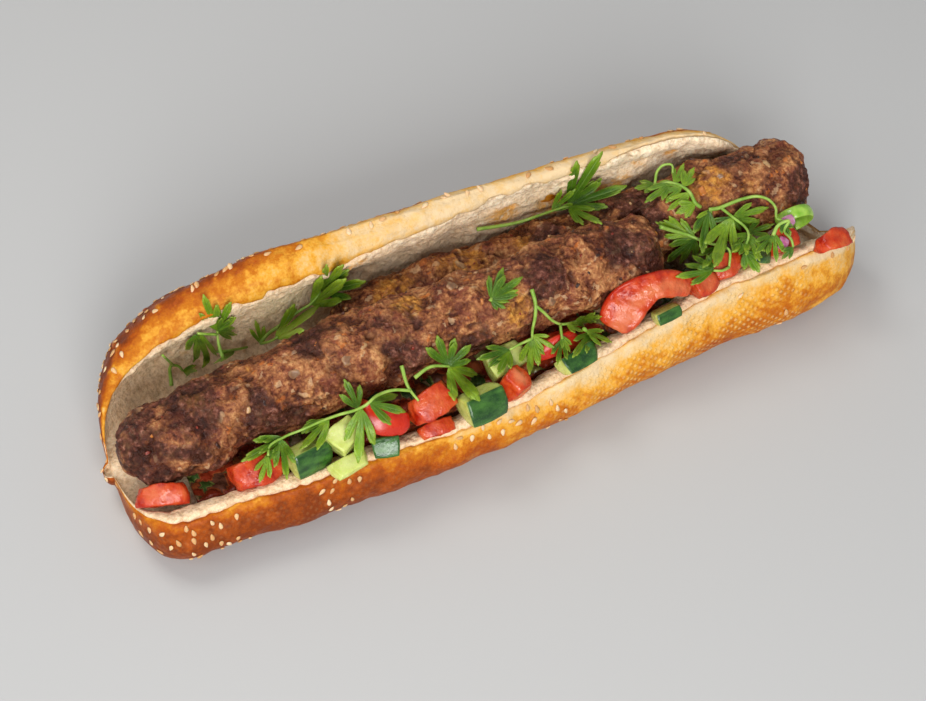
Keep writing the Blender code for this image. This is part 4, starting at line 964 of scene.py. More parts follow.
def mince_relief(grid, seed):
    """How far the mince stands out at each point, and its stored values. Noise first moves the places where
    the grains' middles are looked up, so that no grain has a straight border. Coarse and fine grains stand
    out in their middles, ridges of noise and pits lie over them, and cracks follow the grains' borders."""
    moved = grid + 1.3 * np.stack([waves(grid, 3.6, 77 + seed + k) for k in range(3)], -1)
    big, big_next, kind = grains(moved, 4.6, 60 + seed)
    small, small_next, speck = grains(moved, 1.9, 70 + seed)
    seam = smooth(0.2, 0.0, small_next - small)
    crack = smooth(0.16, 0.0, big_next - big) * smooth(0.15, 0.6, waves(grid, 7.0, 62 + seed))
    pit = smooth(0.66, 0.85, waves(grid, 3.6, 63 + seed))
    ridge = 1.0 - np.abs(waves(moved * (0.6, 1.0, 1.0), 5.5, 78 + seed))
    lift = 0.9 * rough(grid, 6.0, 64 + seed, 3) - 1.0 * pit
    lift += 0.32 * (0.5 - big) - 0.7 * crack + 0.9 * (ridge**3 - 0.3)
    lift += 0.36 * (0.5 - small) - 0.16 * seam + 0.22 * waves(grid, 1.1, 65 + seed)
    # How high each spot stands, kept for the painted shade in the finish's lows.
    relief = np.clip(0.5 + lift / 2.6, 0, 1)
    lift += 1.5 * rough(grid, 17.0, 79 + seed, 2)
    pit_far = np.linalg.norm((grid - PIT_MIDDLE) / PIT_STRETCH, axis=-1) + 0.5 * waves(grid, 1.5, 66)
    lift -= PIT_DEPTH * smooth(1.9, 0.5, pit_far)
    pit = np.maximum(pit, smooth(2.1, 0.8, pit_far) * 1.5)
    # Painted shade: cracks, seams and pits are darkened, as light hardly gets into them.
    dark = np.clip(0.6 * crack + 0.22 * seam + 0.9 * pit, 0, 1)
    return lift, {"crack": dark, "kind": kind, "speck": speck, "relief": relief}


def make_kebab(name, keys, char_places, orange_places, seed, stations, around, beside=None):
    """A kebab's mesh, and its points and outward directions for the chips: each point of the plain kebab
    moves straight out by the mince's relief. A kebab that lies beside another makes way for it."""
    grid = kebab_grid(keys, stations, around, seed, END_LENGTH if beside else SQUARE_END_LENGTH)
    if beside:
        grid = clear_of_kebab(grid.reshape(-1, 3), beside, 0.2).reshape(grid.shape)
    lift, values = mince_relief(grid, seed)
    tips = blunt(grid[..., 0] - keys[0][0], 3.0, 2.0) * blunt(keys[-1][0] - grid[..., 0], 3.0, 2.0)
    grid = grid + outward(grid) * (lift * tips)[..., None]
    ragged = rough(grid, 9.0, 67 + seed, 3)
    char = zones(grid, char_places, 0.715 * ragged) + 0.3 * rough(grid, 10.0, 68 + seed, 3)
    values["char"] = np.clip(char, 0, 1)
    values["orange"] = zones(grid, orange_places, 0.77 * ragged)
    points, quads, fans, more = closed_grid(grid, values)
    return put_mesh(name, points, quads, fans, more), (grid, outward(grid))


# %% [markdown]
# Grilled mince is three things on top of each other: brown meat in many shades, orange patches where fat
# and paprika came out, and black where the grill touched it. Each is a ramp of colours over noise, laid over
# the last by a stored mask. What lies deep is multiplied darker, as light hardly gets there.


# %% The finish of the mince
def meat_finish():
    """Brown, orange and burnt ramps over each other by stored masks, with painted shade in the lows and
    cracks.
    """
    f = Finish("meat", Specular_IOR_Level=0.22)
    grit = f.noise(1.5, 4.0, 0.65)
    # The brown ramp is partly painted shade: the grit that raises the bumps also darkens their lows.
    shade = f.sum(f.times(f.noise(6.0, 4.0, 0.6), 0.55), f.times(grit, 0.45))
    brown = f.ramp(shade, (0.34, (0.060, 0.014, 0.007)), (0.44, (0.19, 0.051, 0.021)),
                   (0.53, (0.37, 0.135, 0.048)), (0.66, (0.66, 0.33, 0.130)))
    kind = f.stored("kind")
    speck = f.stored("speck")
    for value, low, high, share, colour in (
        (kind, 0.74, 0.84, 0.2, (0.50, 0.22, 0.08)),
        (kind, 0.30, 0.18, 0.4, (0.20, 0.042, 0.026)),
        (speck, 0.92, 0.95, 0.5, (0.70, 0.46, 0.25)),
        (speck, 0.05, 0.03, 0.5, (0.62, 0.16, 0.02)),
    ):
        brown = f.blend(f.times(f.band(value, low, high), share), brown, colour)
    orange = f.ramp(grit, (0.3, (0.46, 0.14, 0.015)), (0.6, (0.76, 0.35, 0.05)), (0.8, (0.88, 0.58, 0.18)))
    oily = f.times(f.stored("orange"), 0.75, f.patches(3.4, 3.0, 0.36, 0.56))
    colour = f.blend(oily, brown, orange)
    burnt = f.ramp(f.noise(2.0, 4.0, 0.65), (0.36, (0.018, 0.004, 0.003)), (0.5, (0.060, 0.014, 0.009)),
                   (0.58, (0.14, 0.042, 0.027)), (0.70, (0.36, 0.165, 0.115)))
    colour = f.blend(f.times(f.band(f.stored("char"), 0.05, 0.75), 0.85), colour, burnt)
    # Painted shade: what lies deep is multiplied darker.
    lows = f.ramp(f.stored("relief"), (0.22, (0.36, 0.28, 0.26)), (0.56, (1.0, 1.0, 1.0)))
    colour = f.blend(0.9, colour, lows, "MULTIPLY")
    # Painted shade in the cracks, seams and pits.
    colour = f.blend(f.times(f.stored("crack"), 0.6), colour, (0.07, 0.022, 0.012))
    normal = f.bump(f.noise(0.6, 4.0, 0.7), 0.24)
    normal = f.bump(grit, 0.75, normal)
    normal = f.bump(f.noise(3.2, 4.0, 0.65), 1.1, normal)
    return f.done(colour, normal, f.patches(2.2, 3.0, 0.42, 0.6, 0.6, 0.2))


meat = meat_finish()
front_mesh, front_surface = make_kebab(
    "kebab_front_meat", KEBAB_FRONT, CHAR_FRONT, ORANGE_FRONT, seed=3, stations=480, around=156)
back_mesh, back_surface = make_kebab(
    "kebab_back_meat", KEBAB_BACK, CHAR_BACK, ORANGE_BACK, seed=8, stations=430, around=144,
    beside=KEBAB_FRONT)
show(front_mesh, meat, "meat", "kebab_front")
show(back_mesh, meat, "meat", "kebab_back")

# %% [markdown]
# Onion, fat and pepper show in the mince as small chips pressed into it. They are flat cubes with rounded
# sides, scattered with the same rule as the seeds. The largest are put where they can be seen on the real
# one, and the rest fall at random. One stored number picks each chip's kind in the finish.


# %% Turns and cubes for small blocks
def turned(degrees):
    """The matrix of turns about X, then Y, then Z."""
    x, y, z = np.radians(degrees)
    about_x = np.array(((1, 0, 0), (0, np.cos(x), -np.sin(x)), (0, np.sin(x), np.cos(x))))
    about_y = np.array(((np.cos(y), 0, np.sin(y)), (0, 1, 0), (-np.sin(y), 0, np.cos(y))))
    about_z = np.array(((np.cos(z), -np.sin(z), 0), (np.sin(z), np.cos(z), 0), (0, 0, 1)))
    return about_z @ about_y @ about_x


def cube_surface(cells):
    """The points and faces of a cube of side 2 with each side cut into cells by cells squares. A point is
    found by its whole-numbered place, so that neighbouring sides share their edges."""
    line = np.arange(cells + 1)
    a, b = (v.ravel() for v in np.meshgrid(line, line, indexing="ij"))
    spots, faces = [], []
    square = grid_quads(cells + 1, cells + 1, 0, wrap=False)
    for axis in range(3):
        for end in (0, cells):
            spot = np.zeros((len(a), 3), int)
            spot[:, axis], spot[:, (axis + 1) % 3], spot[:, (axis + 2) % 3] = end, a, b
            faces.append((square[:, ::-1] if end else square) + len(a) * len(spots))
            spots.append(spot)
    keys, first = np.unique(np.concatenate(spots), axis=0, return_inverse=True)
    points, quads = keys / cells * 2.0 - 1.0, first.reshape(-1)[np.concatenate(faces)]
    return points, quads if enclosed(points, quads) > 0 else quads[:, ::-1]


# %% Where the chips lie, and their finish
# Kinds of chip: where in the finish's colours it lies, how many fall at random, and its half sizes.
ONION, FAT, PAPRIKA, PEPPER_BIT, BURNT = 0.05, 0.3, 0.5, 0.7, 0.9
RANDOM_CHIPS = ((ONION, 6, (1.3, 1.0, 0.5)), (FAT, 9, (0.7, 0.5, 0.35)), (PAPRIKA, 18, (0.7, 0.5, 0.35)),
                (PEPPER_BIT, 16, (0.9, 0.6, 0.35)), (BURNT, 24, (0.8, 0.5, 0.35)))
# Chips that can be seen: which kind, where (x, y, z) and the half sizes.
SEEN_ON_FRONT = (
    (ONION, (-76.5, -16.6, 49.6), (2.0, 1.8, 0.7)),
    (ONION, (-58.6, -17.6, 50.8), (2.3, 1.8, 0.8)),
    (ONION, (-16.6, -6.1, 56.2), (1.8, 1.6, 0.6)),
    (FAT, (-53.0, -16.5, 51.6), (1.6, 1.1, 0.6)),
    (FAT, (-95.0, -20.0, 44.0), (1.3, 1.0, 0.6)),
)
SEEN_ON_BACK = (
    (FAT, (-5.5, 16.2, 37.7), (2.2, 1.0, 0.7)),
    (FAT, (109.4, 8.3, 51.5), (1.9, 1.4, 0.6)),
    (PEPPER_BIT, (84.0, 7.5, 48.5), (1.8, 1.2, 0.5)),
)


def make_chips(name, surface, seen, seed):
    """All chips of one kebab as one mesh: rounded cubes on the surface's points, then bent by waves."""
    grid, out = (part.reshape(-1, 3) for part in surface)
    rng = np.random.default_rng(seed)
    open_side = np.flatnonzero((out[:, 2] > -0.2) & (np.abs(grid[:, 0]) < 130))
    rows = [(kind, np.linalg.norm(grid - place, axis=1).argmin(), half) for kind, place, half in seen]
    for kind, count, half in RANDOM_CHIPS:
        rows += [(kind, k, np.array(half) * rng.uniform(0.6, 1.25)) for k in rng.choice(open_side, count)]
    kinds, picked, halves = (np.array(column) for column in zip(*rows))
    cube, quads = cube_surface(4)
    base = cube * (1 - 0.4 * (np.linalg.norm(cube, axis=1, keepdims=True) - 1))
    turns = rng.uniform(0, 2 * math.pi, len(rows))
    points, faces = scatter(base, quads, grid[picked] - out[picked] * 0.12, out[picked], turns, halves)
    points += 0.6 * np.stack([waves(points, 1.8, seed + k) for k in range(3)], -1)
    rim = smooth(0.55, 0.95, np.abs(base[:, :2]).max(1))
    values = {"kind": np.repeat(kinds, len(base)), "rim": np.tile(rim, len(rows))}
    return put_mesh(name, points, faces, (), values)


def chip_finish():
    """One colour for the middle and one for the rim of each kind of chip."""
    f = Finish("chips", 0.3, Specular_IOR_Level=0.45, Subsurface_Weight=0.15, Subsurface_Scale=0.002)
    kind = f.stored("kind")
    middle = f.ramp(kind, (0.1, (0.22, 0.11, 0.055)), (0.3, (0.56, 0.33, 0.15)),
                    (0.5, (0.24, 0.025, 0.012)), (0.7, (0.50, 0.16, 0.02)), (0.9, (0.035, 0.014, 0.011)))
    edge = f.ramp(kind, (0.1, (0.40, 0.22, 0.11)), (0.3, (0.46, 0.25, 0.11)), (0.5, (0.20, 0.03, 0.015)),
                  (0.7, (0.42, 0.14, 0.03)), (0.9, (0.08, 0.03, 0.02)))
    colour = f.blend(f.stored("rim"), middle, edge)
    shades = f.ramp(f.noise(0.8), (0.3, (0.5, 0.5, 0.5)), (0.7, (1.0, 1.0, 1.0)))
    colour = f.blend(0.45, colour, shades, "MULTIPLY")
    return f.done(colour, f.bump(f.noise(0.7), 0.15))


chips = chip_finish()
show(make_chips("kebab_front_chips", front_surface, SEEN_ON_FRONT, 21), chips, "meat")
show(make_chips("kebab_back_chips", back_surface, SEEN_ON_BACK, 22), chips, "meat")

# %% [markdown]
# ## The chopped salad
# Each dice is a cut block of tomato, cucumber or onion. A block could be a beveled cube, but a formula that
# blends a cube with a sphere gives cut faces with soft edges, and it can bulge the side that was skin.
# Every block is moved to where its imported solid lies, so that it keeps the place that was found for it.

# %% Dice
# Each block: its kind, half sizes, turns about X, Y and Z, the radius that its skin had, and how much
# narrower it is below.
DICE = (
    ("tomato", (8.5, 4.2, 3.0), (30, 0, -14), 22, 0.3),
    ("tomato", (9.0, 5.2, 5.2), (40, 4, 6), 24, 0.2),
    ("cucumber", (6.6, 4.6, 5.0), (62, 8, 18), 17, 0.1),
    ("cucumber", (5.4, 4.8, 5.4), (20, -12, 24), 40, 0.0),
    ("cucumber", (6.4, 3.0, 1.6), (14, -4, 10), 60, 0.0),
    ("cucumber", (4.4, 3.6, 2.6), (42, 0, -12), 17, 0.1),
    ("tomato", (8.6, 5.0, 6.4), (48, 20, -24), 26, 0.45),
    ("tomato", (8.2, 5.0, 4.8), (38, -8, 12), 60, 0.15),
    ("tomato", (6.4, 2.8, 2.0), (30, 0, 4), 24, 0.2),
    ("cucumber", (7.2, 4.7, 5.6), (64, 6, 12), 17, 0.1),
    ("tomato", (4.8, 4.6, 5.6), (20, 12, 30), 60, 0.1),
    ("cucumber", (6.8, 4.6, 4.0), (22, 0, 14), 40, 0.0),
    ("tomato", (8.0, 4.2, 5.4), (46, 0, 6), 24, 0.25),
    ("cucumber", (7.0, 3.4, 3.6), (36, 10, 20), 17, 0.1),
    ("cucumber", (4.9, 2.4, 2.8), (55, 0, 8), 17, 0.1),
    ("tomato", (4.8, 4.4, 5.0), (40, -10, 24), 24, 0.3),
    ("tomato", (6.0, 4.6, 4.8), (38, 6, 10), 24, 0.25),
    ("cucumber", (4.4, 4.0, 4.2), (48, 40, 16), 17, 0.1),
    ("tomato", (6.0, 4.4, 4.2), (30, 0, 14), 30, 0.2),
    ("tomato", (6.6, 3.8, 3.2), (24, 6, 10), 22, 0.4),
    ("onion", (2.6, 2.0, 1.3), (30, 10, 20), 20, 0.0),
    ("onion", (2.2, 1.8, 1.2), (20, -10, 50), 20, 0.0),
)
DICE_CELLS = 12
DICE_ROUNDING = {"tomato": 0.5, "cucumber": 0.22, "onion": 0.45}
DICE_UNEVEN = {"tomato": 0.6, "cucumber": 0.14, "onion": 0.1}
# Which blocks have their skin on their upper side.
WITH_SKIN = (2, 5, 6, 9, 12, 13, 14, 17)


def dice_points(cube, half, skin_radius, narrowing, seed, kind):
    """A cube's points on a cut block: rounded edges, sides a little off square, the upper side bulging like
    skin (one way only for a cylinder), and the block narrower below."""
    rng = np.random.default_rng(seed)
    x, y, z = cube.T
    xx, yy, zz = (cube**2).T
    sphere = np.stack([
        x * np.sqrt(1 - yy / 2 - zz / 2 + yy * zz / 3),
        y * np.sqrt(1 - zz / 2 - xx / 2 + zz * xx / 3),
        z * np.sqrt(1 - xx / 2 - yy / 2 + xx * yy / 3),
    ], -1)
    rounding = DICE_ROUNDING[kind] * (0.35 + 0.65 * np.abs(cube).min(1, keepdims=True))
    shape = cube * (1 - rounding) + sphere * rounding
    tilt = rng.uniform(-0.14, 0.14, (3, 3))
    np.fill_diagonal(tilt, 0.0)
    shape = shape * (1.0 + shape @ tilt)
    low = np.clip((1 - shape[:, 2]) / 2, 0, 1)
    shape[:, 1] *= 1 - narrowing * low
    out = shape * np.array(half)
    across = out[:, 1] ** 2 + (0 if kind == "cucumber" else out[:, 0] ** 2)
    out[:, 2] -= (1 - low) * across / (2 * skin_radius)
    return out


def to_node(points, node):
    """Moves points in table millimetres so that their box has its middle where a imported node's has."""
    low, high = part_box(node)
    middle = (np.array(low) + np.array(high)) / 2 / MM - CENTRING
    return points + middle - (points.max(0) + points.min(0)) / 2


def make_dice(number, kind, half, turns, skin_radius, narrowing):
    """A block's mesh: its points move out from the middle by waves, most on the cut sides."""
    cube, quads = cube_surface(DICE_CELLS)
    points = dice_points(cube, half, skin_radius, narrowing, 40 + number, kind)
    flesh = smooth(0.93, 0.8, cube[:, 2]) if number in WITH_SKIN else np.ones(len(cube))
    lift = DICE_UNEVEN[kind] * rough(points + number * 9.0, 3.4, 80) * flesh + 0.1 * rough(points, 6.0, 81)
    points += points / np.linalg.norm(points, axis=1, keepdims=True) * lift[:, None]
    core = smooth(0.9, 0.2, np.linalg.norm(cube[:, :2] * (1.0, 0.8), axis=1)) * flesh
    points = to_node(points @ turned(turns).T, f"{kind}_{number + 1:02d}")
    tone = np.full(len(points), np.random.default_rng(number).uniform())
    values = {"flesh": flesh, "core": core, "tone": tone}
    return put_mesh(f"{kind}_dice_{number + 1:02d}", points, quads, (), values)


# %% [markdown]
# Cut vegetables are wet, and light goes a little way into them. The stored "flesh" value is 0 on skin and
# 1 on a cut face, so one finish serves for both. A small subsurface share softens the flesh.


# %% Finishes for the vegetables
def tomato_finish():
    """Deep red skin, and flesh that is streaked and paler in its core."""
    f = Finish("tomato", Specular_IOR_Level=0.4, Subsurface_Weight=0.12, Subsurface_Scale=0.003,
               Subsurface_Radius=(1.0, 0.25, 0.1))
    cloud = f.noise(5.0)
    streak = f.noise(2.4, stretch=(1.0, 0.35, 1.0))
    skin = f.ramp(cloud, (0.3, (0.42, 0.010, 0.004)), (0.7, (0.58, 0.035, 0.010)))
    flesh = f.ramp(f.sum(f.times(cloud, 0.5), f.times(streak, 0.5)), (0.37, (0.34, 0.012, 0.003)),
                   (0.5, (0.52, 0.046, 0.008)), (0.66, (0.60, 0.11, 0.028)))
    middle = f.times(f.stored("core"), f.band(f.stored("tone"), 0.45, 0.95))
    flesh = f.blend(middle, flesh, (0.62, 0.17, 0.065))
    cut = f.stored("flesh")
    normal = f.bump(f.times(f.noise(1.1), cut), 0.25)
    return f.done(f.blend(cut, skin, flesh), normal, f.patches(3.0, 2.0, 0.35, 0.65, 0.14, 0.4))


def cucumber_finish():
    """Dark green skin striped along its length, and pale green flesh."""
    f = Finish("cucumber", Specular_IOR_Level=0.5, Subsurface_Weight=0.15, Subsurface_Scale=0.003,
               Subsurface_Radius=(0.6, 1.0, 0.3))
    stripe = f.noise(2.2, stretch=(0.3, 1.0, 1.0))
    skin = f.ramp(stripe, (0.35, (0.012, 0.055, 0.010)), (0.7, (0.06, 0.17, 0.025)))
    flesh = f.ramp(f.noise(4.0), (0.3, (0.46, 0.52, 0.09)), (0.7, (0.64, 0.70, 0.22)))
    flesh = f.blend(f.times(f.stored("core"), 0.5), flesh, (0.70, 0.74, 0.32))
    colour = f.blend(f.stored("flesh"), skin, flesh)
    return f.done(colour, f.bump(f.noise(1.0), 0.16), f.patches(3.0, 2.0, 0.35, 0.65, 0.16, 0.34))


def onion_finish():
    """Purple to pink in clouds."""
    f = Finish("onion", 0.25, Subsurface_Weight=0.2, Subsurface_Scale=0.002)
    colour = f.ramp(f.noise(2.4), (0.35, (0.42, 0.07, 0.22)), (0.7, (0.72, 0.40, 0.52)))
    return f.done(colour, f.bump(f.noise(0.9, 2.0), 0.1))


FINISHES = {"tomato": tomato_finish(), "cucumber": cucumber_finish(), "onion": onion_finish()}
for number, (kind, *shape) in enumerate(DICE):
    show(make_dice(number, kind, *shape), FINISHES[kind], kind, f"{kind}_{number + 1:02d}")

# %% [markdown]
# The tomato slice stands on its two feet like an arch, with its seed pocket emptied. It is a rounded band
# swept along a curve. The pepper is a piece of ring, swept the same way along an arc.

# %% The arched tomato slice and the pepper
ARCH_FROM = np.array((34.0, -26.5, 32.5))
ARCH_CROWN = np.array((49.5, -22.0, 41.5))
ARCH_TO = np.array((64.5, -23.5, 37.0))
ARCH_SIZE = (7.0, 10.4)
ARCH_SQUARENESS = 6.0
# The direction in which the slice's cut face looks.
ARCH_FACES = np.array((-0.23, -0.6, 0.77))
PEPPER_RADIUS = 6.6
PEPPER_BAND = (4.6, 1.7)
PEPPER_ARC = (-70, 170)
PEPPER_SQUASH = 0.35
PEPPER_AXIS = np.array((0, -0.94, -0.34))


def make_arch(stations=90, around=56):
    """A rounded square carried along a parabola from one foot over the crown to the other. The section is
    |cos|^n + |sin|^n = 1, thicker at the left foot, and its outer side is skin."""
    t = np.linspace(0, 1, stations)[:, None]
    handle = 2.0 * ARCH_CROWN - (ARCH_FROM + ARCH_TO) / 2
    line = (1 - t) ** 2 * ARCH_FROM + 2 * t * (1 - t) * handle + t**2 * ARCH_TO
    ahead = np.gradient(line, axis=0)
    ahead /= np.linalg.norm(ahead, axis=1, keepdims=True)
    out = np.cross(ahead, ARCH_FACES)
    out /= np.linalg.norm(out, axis=1, keepdims=True)
    out *= np.sign(out[stations // 2, 2])
    side = np.cross(out, ahead)
    turn = np.linspace(0, 2 * math.pi, around, endpoint=False)
    ends = blunt(np.minimum(t, 1 - t), 0.3, 2.0)
    flat, upright = np.cos(turn), np.sin(turn)
    powers = np.abs(flat) ** ARCH_SQUARENESS + np.abs(upright) ** ARCH_SQUARENESS
    squared = powers ** (-1 / ARCH_SQUARENESS)
    wide = flat * squared * ARCH_SIZE[0] / 2
    thick = upright * squared * ARCH_SIZE[1] / 2
    sag = -(wide**2) / 60.0
    thick = thick * (0.9 + 0.6 * smooth(0.62, 0.1, t))
    grid = line[:, None] + side[:, None] * (wide * (0.6 + 0.4 * ends))[..., None]
    grid = grid + out[:, None] * ((thick + sag) * (0.55 + 0.45 * ends))[..., None]
    rise = np.broadcast_to(upright * squared, grid.shape[:2])
    skin = smooth(0.80, 0.95, rise)
    inner = smooth(0.75, 0.1, np.abs(rise + 0.2 + 0.25 * waves(grid, 3.0, 92)))
    lift = 0.45 * rough(grid, 3.6, 90, 3) * (1 - skin) + 0.1 * rough(grid, 7.0, 91)
    grid = grid + outward(grid) * lift[..., None]
    values = {"flesh": 1 - skin, "core": inner, "tone": np.full(skin.shape, 0.75)}
    points, quads, fans, more = closed_grid(grid, values)
    return put_mesh("tomato_arch", to_node(points, "tomato_slice"), quads, fans, more)


def make_pepper(stations=70, around=28):
    """An ellipse, high and thin, carried along an arc of a leaning ring."""
    turn = np.linspace(0, 2 * math.pi, around, endpoint=False)[None, :, None]
    arc = np.radians(np.linspace(*PEPPER_ARC, stations))[:, None, None]
    out = np.concatenate([np.cos(arc), -PEPPER_SQUASH * np.sin(arc), np.sin(arc)], -1)
    high, thick = PEPPER_BAND
    grid = out * (PEPPER_RADIUS + np.cos(turn) * thick / 2) + PEPPER_AXIS * np.sin(turn) * high / 2
    points, quads, fans, more = closed_grid(grid)
    return put_mesh("pepper_strip", to_node(points, "pepper_ring"), quads, fans, more)


def pepper_finish():
    """Fresh green in clouds, with light going into it."""
    f = Finish("pepper", 0.2, Subsurface_Weight=0.3, Subsurface_Scale=0.003,
               Subsurface_Radius=(0.6, 1.0, 0.2))
    colour = f.ramp(f.noise(4.0, 2.0), (0.35, (0.16, 0.36, 0.02)), (0.7, (0.40, 0.62, 0.10)))
    return f.done(colour, f.bump(f.noise(1.5, 2.0), 0.1))


show(make_arch(), FINISHES["tomato"], "tomato", "tomato_slice")
show(make_pepper(), pepper_finish(), "pepper", "pepper_ring")

# %% [markdown]
# Under the front kebab lies finely chopped salad in deep shade. It is one lumpy bed with a random colour
# for each lump, because hundreds of loose cubes would cost more and show no better. Its colours are dark,
# partly as painted shade under the kebab.

# %% The salad bed
BED_X = (-118.0, 112.0)
BED_BACK = -3.0
BED_TOP = 22.0
BED_LUMP = 4.2


def make_bed(stations=260, across_count=28):
    """The bed's mesh: a floor that follows the trough, a wavy top, and on it a lump at each random middle,
    raised there and cut in at the border to the next."""
    x = np.linspace(*BED_X, stations)
    outline = roll_outline(x)
    share = np.linspace(0, 1, across_count)
    across = outline[:, 9, :1] + 1.0 + (BED_BACK - outline[:, 9, :1] - 1.0) * share
    floor = np.stack([np.interp(row, *part[8:13].T) for row, part in zip(across, outline)]) + 0.5
    wide = np.broadcast_to(x[:, None], across.shape)
    top = BED_TOP - 5.0 * smooth(-60, -115, wide) + 1.5 * smooth(40, 100, wide)
    top = np.maximum(top + 0.8 * lumps(wide, across / 6.0, 5), floor + 1.5)
    low = np.stack([wide, across, floor], -1)
    high = np.stack([wide, across, top], -1)
    grid = np.concatenate([low, high[:, ::-1]], 1)
    grid = clear_of_kebab(grid.reshape(-1, 3), KEBAB_FRONT, 0.0).reshape(grid.shape)
    near, following, kind = grains(grid, BED_LUMP, 95)
    upper = np.arange(2 * across_count) >= across_count
    grid[..., 2] += upper * (1.5 * (0.5 - near) - 1.0 * smooth(0.2, 0.0, following - near))
    points, quads, fans, more = closed_grid(grid, {"kind": kind})
    return put_mesh("salad_chopped", points, quads, fans, more)


def bed_finish():
    """A colour of tomato, onion, cucumber or spice for each lump, dark partly as painted shade, with no
    blends between.
    """
    f = Finish("salad", 0.25)
    # Painted shade in part: these colours are darker than the loose pieces', as the bed lies under the
    # kebab.
    colour = f.ramp(f.stored("kind"), (0.0, (0.30, 0.035, 0.012)), (0.4, (0.42, 0.10, 0.03)),
                    (0.6, (0.16, 0.055, 0.03)), (0.78, (0.24, 0.26, 0.06)), (0.86, (0.05, 0.10, 0.02)),
                    (0.93, (0.42, 0.28, 0.14)), between="CONSTANT")
    return f.done(colour, f.bump(f.noise(1.2), 0.3))


show(make_bed(), bed_finish(), "salad", "salad_bed")

# %% [markdown]
# ## The parsley
# Fresh sprigs were thrown on top last, so each lies on what was there before it. Their stems and leaflets
# are known as places (u, v) on a slanting plane that faces the viewer, and a height map over that plane,
# the cover, says how far out the pieces below reach. A cloth simulation could drape leaves too, but parsley
# is springy: a flat leaflet that is lifted where the cover would come through looks truer.

# %% Where the sprigs lie
# The plane looks this many degrees to the side and upwards.
PLANE_TURN = -22.0
PLANE_TILT = 52.0
# The cover's lowest u and v, its cells of 1 mm along both, and a height that is below everything.
COVER_LOW = np.array((-150.0, -80.0))
COVER_CELLS = (300, 170)
COVER_BOTTOM = -60.0
